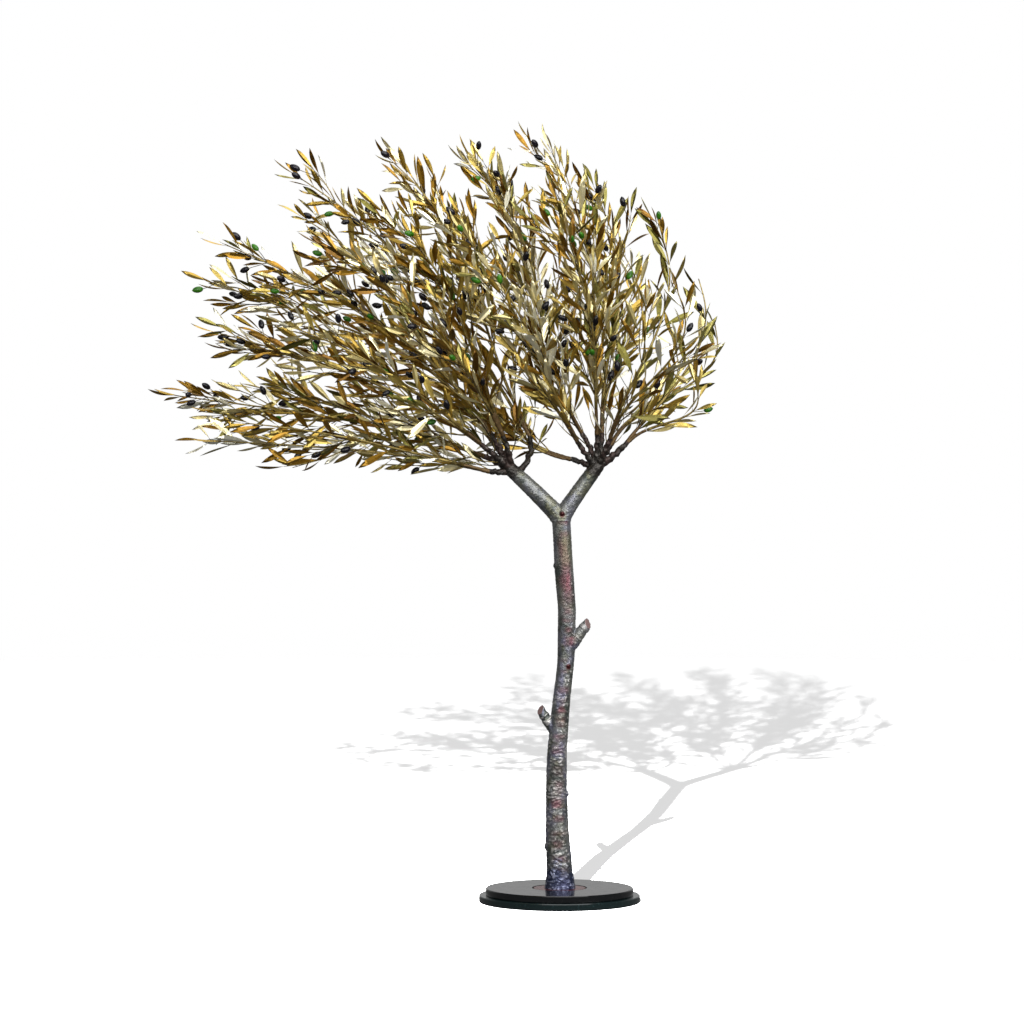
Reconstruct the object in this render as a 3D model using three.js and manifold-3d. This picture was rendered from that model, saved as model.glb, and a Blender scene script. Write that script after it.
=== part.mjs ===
// An artificial olive tree with a windswept crown: a cast bronze trunk with two pruned stubs, a fork of
// two arms, dark boughs fanning from each arm's end, and brass sprays of leaves and olives that the wind
// has laid over to the left. It stands on a round two-step stand.
//
// Millimetres. +Z is up, +X is the side the wind comes from, and +Y runs from the front to the back.
// The origin is the centre of the stand's flat underside. Headings are degrees in the XZ plane, counted
// from +X towards +Z, so 90 is straight up and 180 is straight down the wind.

import * as THREE from 'three';
import { mergeVertices } from 'three/addons/utils/BufferGeometryUtils.js';
import Module from 'manifold-3d';

const wasm = await Module();
wasm.setup();

// ---- driving dimensions ----

const GAP = 0.3; // between neighbouring solids that don't rest face to face

const stand = { lowerRadius: 155.5, upperRadius: 142.5, step: 13.5, bevel: 1, segments: 44 };
const recess = { radius: 53, depth: 4 };
const footPlate = { radius: 50, thickness: 2 };

const STAND_TOP = 2 * stand.step;
const FOOT = STAND_TOP - recess.depth + footPlate.thickness; // height of the trunk's flat cut

// stations up the trunk: [height, x, radius]
const trunkStations = [
  [FOOT, 1, 31], [33, 1, 28.5], [61, 0, 25], [138, -4, 22.7], [215, -6, 20], [292, -5, 18.8],
  [389, 4, 17.2], [466, 12.5, 16.2], [563, 14.5, 17.4], [640, 8.7, 17.8], [742, 3, 18],
];
const TRUNK_SIDES = 14;
const TRUNK_RINGS = 17;
const FLARE_CROWDING = 1.25; // above 1 the rings crowd towards the flared foot

// pruned stubs, cut off on a slant: root and tip as [x, height], radii there, heading of the cut face
const stubs = [
  { root: [13, 486], tip: [55, 537], radii: [15.6, 9.3], cut: 26 },
  { root: [-7, 325], tip: [-37, 370], radii: [12, 8.7], cut: 147 },
];
const STUB_SIDES = 10;

// small knots: height, angle round the trunk from +X towards +Y, radius
const knots = [
  { height: 643, angle: 178, radius: 5 },
  { height: 450, angle: -70, radius: 4.5 },
  { height: 202, angle: -4, radius: 6 },
  { height: 99, angle: 184, radius: 7 },
];
const KNOT_SIDES = 7;
const KNOT_RISE = 0.5; // how steeply a knot points up, as a slope
// a knot's cross-sections: [share of the trunk's radius from its axis, share of the knot's radius]
const knotProfile = [[0.5, 1.5], [1, 1.25], [1.25, 0.5]];

// the two arms of the fork: stations [x, height, radius] from the trunk's axis to the knuckle at the end
const FORK_BASE = [3, 735, 17];
const arms = {
  left: [FORK_BASE, [-11.4, 754.6, 15.3], [-51, 794.4, 14.2], [-96, 836, 13.8]],
  right: [FORK_BASE, [14, 757, 15], [49.6, 808.5, 14.2], [72.5, 840, 13.5]],
};
const FORK_LENGTH = 46; // the length of each arm that is cast in one with the trunk
const ARM_SIDES = 12;
const ARM_SEGMENTS = 6;
const FORK_SEGMENTS = 4;
const domeAngles = [30, 58, 80]; // the rings of a knuckle's domed end, in degrees up from its equator

// Boughs, each one arc. launch and heading are where it points at its root and at its tip, radius is its
// root's, depth is how far back (+Y) its tip lies, and back is how far its root is behind the arm's end.
// sprays gives the tip of each mass that it carries, seen from the arm's end: [rise, reach, depth].
const boughs = {
  left: [
    { launch: 192, heading: 166, length: 58, radius: 6, depth: -14, back: 6,
      sprays: [[175, 643, -60], [171, 560, -200]] },
    { launch: 150, heading: 160, length: 72, radius: 6.5, depth: 32, back: 2,
      sprays: [[168, 722, 50], [163, 590, 200]] },
    { launch: 138, heading: 142, length: 80, radius: 6.5, depth: -40, back: 8,
      sprays: [[156, 664, -110], [149, 550, -240]] },
    { launch: 115, heading: 124, length: 86, radius: 7, depth: 0, back: 0,
      sprays: [[149, 742, 20], [143, 749, -70]] },
    { launch: 122, heading: 128, length: 80, radius: 6, depth: 42, back: 10,
      sprays: [[139, 600, 220], [131, 693, 110]] },
    { launch: 30, heading: 122, length: 98, radius: 5.2, depth: 6, back: 14,
      sprays: [[127.5, 753, 20], [113, 680, -30]] },
    { launch: 98, heading: 114, length: 80, radius: 5.5, depth: -42, back: 6,
      sprays: [[132, 590, -210], [119, 600, -130]] },
  ],
  right: [
    { launch: 152, heading: 168, length: 60, radius: 4.8, depth: 16, back: 5,
      sprays: [[158, 430, 30], [147, 530, 150]] },
    { launch: 133, heading: 120, length: 70, radius: 4.8, depth: -30, back: 2,
      sprays: [[136, 640, -60], [126, 590, -190]] },
    { launch: 106, heading: 122, length: 72, radius: 5, depth: 34, back: 0,
      sprays: [[115, 689, 60], [121, 560, 200]] },
    { launch: 84, heading: 94, length: 80, radius: 6, depth: -22, back: 4,
      sprays: [[103.5, 676, -40], [107, 530, -190]] },
    { launch: 76, heading: 90, length: 82, radius: 7, depth: 16, back: 0,
      sprays: [[95, 592, 40], [87, 480, 190]] },
    { launch: 28, heading: 50, length: 78, radius: 7.5, depth: 0, back: 0,
      sprays: [[67, 458, 30], [50, 285, -30]] },
    { launch: 58, heading: 74, length: 70, radius: 5, depth: -38, back: 3,
      sprays: [[81, 520, -70], [72, 400, -190]] },
    { launch: 52, heading: 62, length: 68, radius: 5, depth: 38, back: 6,
      sprays: [[57, 405, 90], [66, 340, 200]] },
  ],
};
const BOUGH_TIP_RADIUS = 4.6;
const BOUGH_SIDES = 6;
const BOUGH_SEGMENTS = 5;
const ARC_STEPS = 12; // the steps that a bough's arc is worked out in

const WIND = 0.36; // how much of the way to 180 degrees the wind turns a spray by its tip

// Stems are three-sided. offset is how far a stem starts from the centre of its bough's tip, handle the
// share of its span over which it holds its heading at each end, and bare the share of it with no leaves.
const stem = { radius: 2.3, tipRadius: 1.2, offset: 2.5, handle: 0.36, bare: 0.06, segments: 8 };
// Side twigs are three-sided too, and leave the stem between two shares of its length, at angles a golden
// turn apart.
const twig = {
  radius: 1.6, tipRadius: 1, spread: 32, longest: 165, shortest: 80, every: 120, segments: 3,
  first: 0.06, last: 0.84, turn: 137.5, bare: 32,
};
// A leaf is an eight-faced lens, and an olive a stretched icosahedron. Both stand for a few of the real
// ones. every is the distance from one pair of leaves to the next, and share how many pairs have an olive.
const leaf = { length: 84, width: 17, thickness: 1.8, widest: 0.45, angle: 33, every: 100, sunk: 1 };
const olive = { length: 22, width: 13.5, stalk: 4.5, share: 0.07 };

// the crown's space: nothing of a spray passes these planes
const crown = new THREE.Box3(new THREE.Vector3(-812, -268, 820), new THREE.Vector3(308, 268, 1504));
const SPACE = 4; // least difference between a point's distances to a neighbour's stem and to its own
const CLEARANCE = 3; // least distance from a limb's skin

// the seed of the first mass's twigs, and what is added to it for its leaves and olives
const GROWTH_SEED = 100;
const DRESSING_SEED = 1000;

// ---- colours of the finishes ----

const finishes = {
  stone: { color: 0x15181a, roughness: 0.12, metalness: 0 },
  plate: { color: 0x7c3f34, roughness: 0.3, metalness: 0.8 },
  bark: { color: 0x6a6763, roughness: 0.5, metalness: 0.8 },
  darkBark: { color: 0x2b221b, roughness: 0.55, metalness: 0.7 },
  leaves: { color: 0xa08445, roughness: 0.4, metalness: 0.8 },
};

// ---- vectors ----

const radians = THREE.MathUtils.degToRad;
const lerp = THREE.MathUtils.lerp;
const DEPTH_AXIS = new THREE.Vector3(0, 1, 0);

/** A unit vector at a heading in the XZ plane. */
function headingVector(heading) {
  return new THREE.Vector3(Math.cos(radians(heading)), 0, Math.sin(radians(heading)));
}

/** A generator of numbers from 0 to 1 that are the same on each run. */
function seededRandom(seed) {
  let state = seed >>> 0;
  return () => {
    state = (state + 0x6d2b79f5) >>> 0;
    let mixed = Math.imul(state ^ (state >>> 15), state | 1);
    mixed ^= mixed + Math.imul(mixed ^ (mixed >>> 7), mixed | 61);
    return ((mixed ^ (mixed >>> 14)) >>> 0) / 4294967296;
  };
}

/** A value spread evenly round a middle, by up to half of a range. */
const jitter = (random, middle, range) => middle + range * (random() - 0.5);

/** The part of a direction that is square to an axis, as a unit vector. */
function squareTo(direction, axis) {
  return direction.clone().addScaledVector(axis, -direction.dot(axis)).normalize();
}

/** The unit vector square to an axis at an angle round it, where 0 lies in the XZ plane. */
function around(axis, angle) {
  const across = new THREE.Vector3().crossVectors(axis, DEPTH_AXIS).normalize();
  const back = new THREE.Vector3().crossVectors(across, axis);
  return across.multiplyScalar(Math.cos(angle)).addScaledVector(back, Math.sin(angle));
}

/** The point, direction and radius at a share of the way along a route. */
function stationAt(route, share) {
  return {
    point: route.curve.getPointAt(share),
    direction: route.curve.getTangentAt(share).normalize(),
    radius: lerp(route.radii[0], route.radii[1], share),
  };
}

// ---- solids ----

/** A closed solid from vertices and triangles that share them. */
function solidOf(vertices, triangles) {
  const vertProperties = new Float32Array(vertices.flatMap((v) => [v.x, v.y, v.z]));
  const triVerts = new Uint32Array(triangles.flat());
  return new wasm.Manifold(new wasm.Mesh({ numProp: 3, vertProperties, triVerts }));
}

/** The largest body of a solid: loose scraps and sealed hollows are left out. */
function largestBody(solid) {
  return solid.decompose().reduce((best, body) => (body.volume() > best.volume() ? body : best));
}

/** A limb through stations of point, direction and radius, with flat ends; endNormal slants the last. */
function limb(stations, sides, endNormal = null) {
  const vertices = [];
  const triangles = [];
  let side = around(stations[0].direction, 0);
  stations.forEach(({ point, direction, radius }, ring) => {
    side = squareTo(side, direction);
    const other = new THREE.Vector3().crossVectors(direction, side);
    const slanted = endNormal && ring === stations.length - 1;
    for (let i = 0; i < sides; i += 1) {
      const angle = (2 * Math.PI * i) / sides;
      const vertex = point.clone().addScaledVector(side, radius * Math.cos(angle));
      vertex.addScaledVector(other, radius * Math.sin(angle));
      if (slanted) {
        const drop = point.clone().sub(vertex).dot(endNormal) / direction.dot(endNormal);
        vertex.addScaledVector(direction, drop);
      }
      vertices.push(vertex);
      if (ring === 0) continue;
      const next = (i + 1) % sides;
      const below = (ring - 1) * sides;
      const above = ring * sides;
      triangles.push([below + i, below + next, above + next], [below + i, above + next, above + i]);
    }
  });
  const last = (stations.length - 1) * sides;
  for (let i = 1; i < sides - 1; i += 1) {
    triangles.push([0, i + 1, i], [last, last + i, last + i + 1]);
  }
  return solidOf(vertices, triangles);
}

/** The stations of a route from one share of it to another. */
function stationsAlong(route, from, to, segments) {
  return Array.from({ length: segments + 1 }, (_, i) => stationAt(route, lerp(from, to, i / segments)));
}

/** Stations with a domed end added past the last one. */
function domed(stations) {
  const { point, direction, radius } = stations[stations.length - 1];
  const rise = (angle) => ({
    point: point.clone().addScaledVector(direction, radius * Math.sin(radians(angle))),
    direction,
    radius: radius * Math.cos(radians(angle)),
  });
  return [...stations, ...domeAngles.map(rise)];
}

/** Stations with every radius larger by the gap, so that a solid cut with them clears the limb by it. */
const widened = (stations) => stations.map((s) => ({ ...s, radius: s.radius + GAP }));

/** A route through arm stations of [x, height, radius]. */
function armRoute(stations) {
  const curve = new THREE.CatmullRomCurve3(stations.map(([x, z]) => new THREE.Vector3(x, 0, z)));
  return { curve, radii: [stations[0][2], stations[stations.length - 1][2]] };
}

// ---- the stand ----

/** A disc with bevelled edges from one height to another, with an optional round recess in its top. */
function disc(radius, bottom, top, hollow = null) {
  const { bevel } = stand;
  const profile = [
    [0, bottom], [radius - bevel, bottom], [radius, bottom + bevel],
    [radius, top - bevel], [radius - bevel, top],
  ];
  if (hollow) {
    profile.push([hollow.radius, top], [hollow.radius, top - hollow.depth], [0, top - hollow.depth]);
  } else {
    profile.push([0, top]);
  }
  const points = profile.map(([x, y]) => new THREE.Vector2(x, y));
  const geometry = new THREE.LatheGeometry(points, stand.segments);
  geometry.rotateX(Math.PI / 2);
  return geometry;
}

// ---- the trunk and the arms ----

/** The trunk's axis and radius at a height, from its stations. */
function trunkStation(height) {
  const above = Math.max(1, trunkStations.findIndex(([z]) => z >= height));
  const [z0, x0, r0] = trunkStations[above - 1];
  const [z1, x1, r1] = trunkStations[above];
  const share = (height - z0) / (z1 - z0);
  return { point: new THREE.Vector3(lerp(x0, x1, share), 0, height), radius: lerp(r0, r1, share) };
}

/** The trunk with its flared foot, stubs, knots and the two roots of the fork, as one solid. */
function trunkSolid(armRoutes) {
  const top = trunkStations[trunkStations.length - 1][0];
  const upright = new THREE.Vector3(0, 0, 1);
  const rings = Array.from({ length: TRUNK_RINGS + 1 }, (_, i) => {
    const height = lerp(FOOT, top, (i / TRUNK_RINGS) ** FLARE_CROWDING);
    return { ...trunkStation(height), direction: upright };
  });
  const forkRoots = Object.values(armRoutes).map((route) => {
    const stations = stationsAlong(route, 0, FORK_LENGTH / route.curve.getLength(), FORK_SEGMENTS);
    return limb(stations, ARM_SIDES);
  });
  const pieces = [limb(rings, TRUNK_SIDES), ...stubs.map(stubSolid), ...knots.map(knotSolid), ...forkRoots];
  return largestBody(wasm.Manifold.union(pieces));
}

/** A pruned stub with its slanted cut. */
function stubSolid({ root, tip, radii, cut }) {
  const [from, to] = [root, tip].map(([x, z]) => new THREE.Vector3(x, 0, z));
  const direction = to.clone().sub(from).normalize();
  const stations = [from, to].map((point, i) => ({ point, direction, radius: radii[i] }));
  return limb(stations, STUB_SIDES, headingVector(cut));
}

/** A small knot on the trunk. */
function knotSolid({ height, angle, radius }) {
  const { point, radius: trunkRadius } = trunkStation(height);
  const direction = new THREE.Vector3(Math.cos(radians(angle)), Math.sin(radians(angle)), KNOT_RISE);
  direction.normalize();
  const stations = knotProfile.map(([out, width]) => ({
    point: point.clone().addScaledVector(direction, trunkRadius * out),
    direction,
    radius: radius * width,
  }));
  return limb(stations, KNOT_SIDES);
}

/** An arm's stations from the fork to its end. */
function armStations(route) {
  return stationsAlong(route, (FORK_LENGTH + GAP) / route.curve.getLength(), 1, ARM_SEGMENTS);
}

// ---- boughs ----

/** A bough's route: an arc that turns evenly from its launch to its heading. */
function boughRoute({ launch, heading, length, depth, back, radius }, arm) {
  const points = [arm.curve.getPointAt(1 - back / arm.curve.getLength())];
  for (let i = 0; i < ARC_STEPS; i += 1) {
    const step = headingVector(lerp(launch, heading, (i + 0.5) / ARC_STEPS));
    step.multiplyScalar(length / ARC_STEPS).addScaledVector(DEPTH_AXIS, depth / ARC_STEPS);
    points.push(points[i].clone().add(step));
  }
  return { curve: new THREE.CatmullRomCurve3(points), radii: [radius, BOUGH_TIP_RADIUS] };
}

// ---- masses of foliage ----

/** The tip of a spray, seen from its arm's end. */
function sprayTip([rise, reach, depth], armEnd) {
  return armEnd.clone().addScaledVector(headingVector(rise), reach).addScaledVector(DEPTH_AXIS, depth);
}

/** The route of a bough's j-th stem, from beside the centre of the bough's tip to the spray's own tip. */
function stemRoute(sprays, j, boughTip, armEnd) {
  const tips = sprays.map((spray) => sprayTip(spray, armEnd));
  const middle = tips.reduce((sum, tip) => sum.add(tip), new THREE.Vector3()).divideScalar(tips.length);
  const aside = squareTo(tips[0].clone().sub(middle), boughTip.direction);
  aside.applyAxisAngle(boughTip.direction, (2 * Math.PI * j) / tips.length);
  const start = boughTip.point.clone().addScaledVector(aside, stem.offset);
  start.addScaledVector(boughTip.direction, GAP);
  const end = headingVector(lerp(sprays[j][0], 180, WIND));
  const tip = tips[j].addScaledVector(end, -leaf.length);
  const handle = start.distanceTo(tip) * stem.handle;
  const curve = new THREE.CubicBezierCurve3(
    start,
    start.clone().addScaledVector(boughTip.direction, handle),
    tip.clone().addScaledVector(end, -handle),
    tip,
  );
  return { curve, radii: [stem.radius, stem.tipRadius] };
}

/** The distance from a point to a route's sampled line. */
function distanceTo(line, point) {
  let nearest = Infinity;
  const closest = new THREE.Vector3();
  for (let i = 1; i < line.length; i += 1) {
    new THREE.Line3(line[i - 1], line[i]).closestPointToPoint(point, true, closest);
    nearest = Math.min(nearest, closest.distanceTo(point));
  }
  return nearest;
}

/** Whether every point is in the crown, nearer its own stem than any other, and clear of every limb. */
function inOwnSpace(points, own, lines, limbs) {
  return points.every((point) => {
    if (!crown.containsPoint(point)) return false;
    const home = distanceTo(own, point);
    if (lines.some((line) => line !== own && distanceTo(line, point) < home + SPACE)) return false;
    return limbs.every(({ line, radius }) => distanceTo(line, point) > radius + CLEARANCE);
  });
}

/** The corners of a leaf that leaves a point of a twig in a direction, with its blade turned by roll. */
function leafCorners(point, direction, roll, length) {
  const across = around(direction, roll);
  const up = new THREE.Vector3().crossVectors(direction, across);
  const middle = point.clone().addScaledVector(direction, length * leaf.widest);
  const half = (leaf.width * length) / leaf.length / 2;
  return [
    point.clone().addScaledVector(direction, -leaf.sunk),
    middle.clone().addScaledVector(across, half),
    middle.clone().addScaledVector(up, leaf.thickness / 2),
    middle.clone().addScaledVector(across, -half),
    middle.clone().addScaledVector(up, -leaf.thickness / 2),
    point.clone().addScaledVector(direction, length),
  ];
}

/** A leaf from its six corners. */
function leafSolid(corners) {
  const faces = [1, 2, 3, 4].flatMap((i) => {
    const next = (i % 4) + 1;
    return [[0, next, i], [5, i, next]];
  });
  return solidOf(corners, faces);
}

/** An olive whose length lies along a direction. */
function oliveSolid(centre, direction) {
  const sphere = new THREE.IcosahedronGeometry(1, 0);
  ['normal', 'uv'].forEach((attribute) => sphere.deleteAttribute(attribute));
  sphere.scale(olive.width / 2, olive.width / 2, olive.length / 2);
  sphere.applyQuaternion(new THREE.Quaternion().setFromUnitVectors(new THREE.Vector3(0, 0, 1), direction));
  sphere.translate(centre.x, centre.y, centre.z);
  const { attributes, index } = mergeVertices(sphere, 0.01);
  const mesh = { numProp: 3, vertProperties: attributes.position.array, triVerts: index.array };
  return new wasm.Manifold(new wasm.Mesh(mesh));
}

/** The direction of something that leaves a station at an angle from it, turned round it. */
function leaving(station, angle, turn) {
  const out = station.direction.clone().multiplyScalar(Math.cos(radians(angle)));
  return out.addScaledVector(around(station.direction, turn), Math.sin(radians(angle)));
}

/** Leaves in opposite pairs along a twig, a leaf at its tip, and an olive here and there. */
function dressTwig(route, bare, random, fits) {
  const length = route.curve.getLength();
  const pieces = [];
  let turn = random() * Math.PI;
  const placeLeaf = ({ point }, out, size) => {
    const corners = leafCorners(point, out, random() * Math.PI, leaf.length * size);
    if (fits(corners)) pieces.push(leafSolid(corners));
  };
  const placeOlive = ({ point, radius, direction }, side) => {
    const centre = point.clone().addScaledVector(side, radius + olive.stalk);
    const lengthways = side.clone().addScaledVector(direction, 0.6).normalize();
    if (random() < olive.share && fits([centre])) pieces.push(oliveSolid(centre, lengthways));
  };
  let along = length - leaf.every / 2;
  while (along > bare) {
    const station = stationAt(route, along / length);
    turn += jitter(random, Math.PI / 2, 0.8);
    [turn, turn + Math.PI].forEach((side) => {
      placeLeaf(station, leaving(station, jitter(random, leaf.angle, 16), side), jitter(random, 0.96, 0.2));
    });
    placeOlive(station, around(station.direction, jitter(random, turn + Math.PI / 2, 1)));
    along -= leaf.every * jitter(random, 1, 0.2);
  }
  const tip = stationAt(route, 1);
  placeLeaf(tip, tip.direction, 1);
  return pieces;
}

/** A side twig's route: it leaves its stem at an angle and bends back along it, down the wind. */
function twigRoute(station, turn, length) {
  const out = leaving(station, twig.spread, turn);
  const bent = station.direction.clone().multiplyScalar(2).add(out).normalize();
  const knee = station.point.clone().addScaledVector(out, length / 2);
  const tip = knee.clone().addScaledVector(bent, length / 2);
  const curve = new THREE.QuadraticBezierCurve3(station.point, knee, tip);
  return { curve, radii: [twig.radius, twig.tipRadius] };
}

/** One mass of foliage: a stem with side twigs, leaves and olives fused to it. */
function massSolid(route, seed, fits) {
  const growth = seededRandom(seed);
  const dressing = seededRandom(seed + DRESSING_SEED);
  const length = route.curve.getLength();
  const pieces = [limb(stationsAlong(route, 0, 1, stem.segments), 3)];
  let turn = growth() * 2 * Math.PI;
  let along = length * twig.first;
  while (along < length * twig.last) {
    const share = along / length;
    const side = twigRoute(stationAt(route, share), turn, lerp(twig.longest, twig.shortest, share));
    const stations = stationsAlong(side, 0, 1, twig.segments);
    const tip = stations[twig.segments];
    const reach = tip.point.clone().addScaledVector(tip.direction, leaf.length);
    if (fits([...stations.slice(1).map(({ point }) => point), reach])) {
      pieces.push(limb(stations, 3), ...dressTwig(side, twig.bare, dressing, fits));
    }
    turn += radians(twig.turn);
    along += twig.every * jitter(growth, 1, 0.3);
  }
  pieces.push(...dressTwig(route, length * stem.bare, dressing, fits));
  return largestBody(wasm.Manifold.union(pieces));
}

// ---- assembly ----

const tree = new THREE.Group();

/** Adds a named sub-part with its finish. */
function addPart(name, geometry, finish) {
  const mesh = new THREE.Mesh(geometry, new THREE.MeshStandardMaterial(finish));
  mesh.name = name;
  tree.add(mesh);
}

/** The geometry of a solid. */
function geometryOf(solid) {
  const { vertProperties, triVerts } = solid.getMesh();
  const geometry = new THREE.BufferGeometry();
  geometry.setAttribute('position', new THREE.BufferAttribute(vertProperties, 3));
  geometry.setIndex(new THREE.BufferAttribute(triVerts, 1));
  geometry.computeVertexNormals();
  return geometry;
}

addPart('stand_lower', disc(stand.lowerRadius, 0, stand.step), finishes.stone);
addPart('stand_upper', disc(stand.upperRadius, stand.step, STAND_TOP, recess), finishes.stone);
addPart('foot_plate', disc(footPlate.radius, FOOT - footPlate.thickness, FOOT), finishes.plate);

const armRoutes = { left: armRoute(arms.left), right: armRoute(arms.right) };
addPart('trunk', geometryOf(trunkSolid(armRoutes)), finishes.bark);

const limbs = []; // the limbs that foliage keeps clear of, as a line and a radius
const masses = []; // the name, route and sampled line of each mass's stem
Object.entries(armRoutes).forEach(([side, arm]) => {
  const stations = armStations(arm);
  addPart(`arm_${side}`, geometryOf(limb(domed(stations), ARM_SIDES)), finishes.bark);
  limbs.push({ line: stations.map(({ point }) => point), radius: stations[0].radius });
  const cutters = [limb(domed(widened(stations)), ARM_SIDES)];
  boughs[side].forEach((bough, i) => {
    const route = boughRoute(bough, arm);
    const boughStations = stationsAlong(route, 0, 1, BOUGH_SEGMENTS);
    const whole = limb(boughStations, BOUGH_SIDES);
    const solid = largestBody(cutters.reduce((rest, cutter) => rest.subtract(cutter), whole));
    addPart(`bough_${side}_${i + 1}`, geometryOf(solid), finishes.darkBark);
    cutters.push(limb(widened(boughStations), BOUGH_SIDES));
    limbs.push({ line: boughStations.map(({ point }) => point), radius: bough.radius });
    bough.sprays.forEach((_, j) => {
      const stemLine = stemRoute(bough.sprays, j, stationAt(route, 1), arm.curve.getPointAt(1));
      const line = stationsAlong(stemLine, 0, 1, stem.segments).map(({ point }) => point);
      masses.push({ name: `foliage_${side}_${i + 1}${'ab'[j]}`, route: stemLine, line });
    });
  });
});

const lines = masses.map(({ line }) => line);
masses.forEach(({ name, route, line }, i) => {
  const solid = massSolid(route, GROWTH_SEED + i, (points) => inOwnSpace(points, line, lines, limbs));
  addPart(name, geometryOf(solid), finishes.leaves);
});

export default tree;
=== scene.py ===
"""The looks of an artificial olive tree with a windswept crown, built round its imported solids.

The tree is a cast bronze trunk and fork with dark boughs, brass leaves, black and green olives, and a
polished two-step stand. Growth is worked out in millimetres, in the frame of the solids: +X is the side
that the wind comes from, +Y runs from the front to the back and +Z is up. Headings are degrees in the XZ
plane, counted from +X towards +Z.
"""
import logging
import math
from dataclasses import dataclass, field
from enum import Enum
from typing import Sequence

import bpy
import numpy as np
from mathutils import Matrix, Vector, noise


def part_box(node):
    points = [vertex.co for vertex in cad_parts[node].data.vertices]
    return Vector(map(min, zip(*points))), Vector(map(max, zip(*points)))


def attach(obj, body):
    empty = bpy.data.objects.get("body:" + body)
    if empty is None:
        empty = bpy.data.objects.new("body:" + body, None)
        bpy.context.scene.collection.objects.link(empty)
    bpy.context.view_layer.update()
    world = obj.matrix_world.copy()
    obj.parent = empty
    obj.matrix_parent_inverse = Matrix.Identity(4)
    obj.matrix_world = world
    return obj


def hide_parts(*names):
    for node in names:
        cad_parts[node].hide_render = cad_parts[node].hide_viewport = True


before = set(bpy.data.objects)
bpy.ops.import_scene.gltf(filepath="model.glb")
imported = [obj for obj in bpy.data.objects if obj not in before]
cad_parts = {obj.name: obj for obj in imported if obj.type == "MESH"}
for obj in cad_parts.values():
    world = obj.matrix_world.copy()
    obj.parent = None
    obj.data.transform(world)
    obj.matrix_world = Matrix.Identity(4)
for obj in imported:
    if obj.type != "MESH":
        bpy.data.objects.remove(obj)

LOG = logging.getLogger("olive_tree")
MM = 0.001
Vec = np.ndarray
Colour = tuple[float, float, float]
Place = tuple[float, float, float]
Profile = list[tuple[float, float]]
Socket = bpy.types.NodeSocket
Sockets = bpy.types.bpy_prop_collection
Value = Socket | float
Tint = Socket | Colour
DEPTH_AXIS = np.array([0.0, 1.0, 0.0])
UP = np.array([0.0, 0.0, 1.0])


# ---- vectors and seeded chance ----

def unit(v: Vec) -> Vec:
    """Returns v at length one."""
    return v / np.linalg.norm(v)


def heading_vector(heading: float) -> Vec:
    """Returns the unit vector at a heading, in degrees, in the XZ plane."""
    return np.array([math.cos(math.radians(heading)), 0.0, math.sin(math.radians(heading))])


def lerp(a: float, b: float, share: float) -> float:
    """Returns the value a share of the way from a to b."""
    return a + (b - a) * share


def square_to(direction: Vec, axis: Vec) -> Vec:
    """Returns the part of direction that is square to axis, as a unit vector."""
    return unit(direction - axis * direction.dot(axis))


def around(axis: Vec, angle: float) -> Vec:
    """Returns the unit vector square to axis at an angle round it, where 0 lies in the XZ plane."""
    across = unit(np.cross(axis, DEPTH_AXIS))
    return across * math.cos(angle) + np.cross(across, axis) * math.sin(angle)


class SeededRandom:
    """Numbers from 0 to 1 that are the same on each run."""

    def __init__(self, seed: int) -> None:
        """Starts the sequence of a seed."""
        self.state = seed

    def __call__(self) -> float:
        """Draws the next number.

        Returns:
            A number from 0 to 1.
        """
        word = 0xFFFFFFFF
        self.state = (self.state + 0x6D2B79F5) & word
        mixed = (self.state ^ (self.state >> 15)) * (self.state | 1) & word
        mixed ^= (mixed + ((mixed ^ (mixed >> 7)) * (mixed | 61) & word)) & word
        return ((mixed ^ (mixed >> 14)) & word) / 4294967296

    def jitter(self, middle: float, spread: float) -> float:
        """Returns a value spread evenly round middle, by up to half of spread."""
        return middle + spread * (self() - 0.5)


# ---- routes ----

@dataclass(frozen=True)
class Station:
    """One place along a route, in millimetres."""

    point: Vec
    direction: Vec
    radius: float


class Route:
    """A smooth line that tapers, looked up by the share of its length."""

    def __init__(self, points: Vec, radii: tuple[float, float]) -> None:
        """Measures a densely sampled line.

        Args:
            points: the line's points, one a row.
            radii: the radius at its start and at its end.
        """
        self.points = points
        self.radii = radii
        steps = np.linalg.norm(np.diff(points, axis=0), axis=1)
        self.along = np.concatenate([[0.0], np.cumsum(steps)])
        self.length = float(self.along[-1])

    def point_at(self, share: float) -> Vec:
        """Returns the point at a share of the length."""
        wanted = share * self.length
        return np.array([np.interp(wanted, self.along, self.points[:, k]) for k in range(3)])

    def at(self, share: float) -> Station:
        """Finds the station at a share of the length.

        Args:
            share: the share, from 0 to 1.

        Returns:
            The station there.
        """
        low, high = max(share - 0.01, 0.0), min(share + 0.01, 1.0)
        direction = unit(self.point_at(high) - self.point_at(low))
        return Station(self.point_at(share), direction, lerp(*self.radii, share))

    def stations(self, start: float, stop: float, segments: int) -> list[Station]:
        """Returns evenly spaced stations from one share to another."""
        return [self.at(lerp(start, stop, i / segments)) for i in range(segments + 1)]


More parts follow.
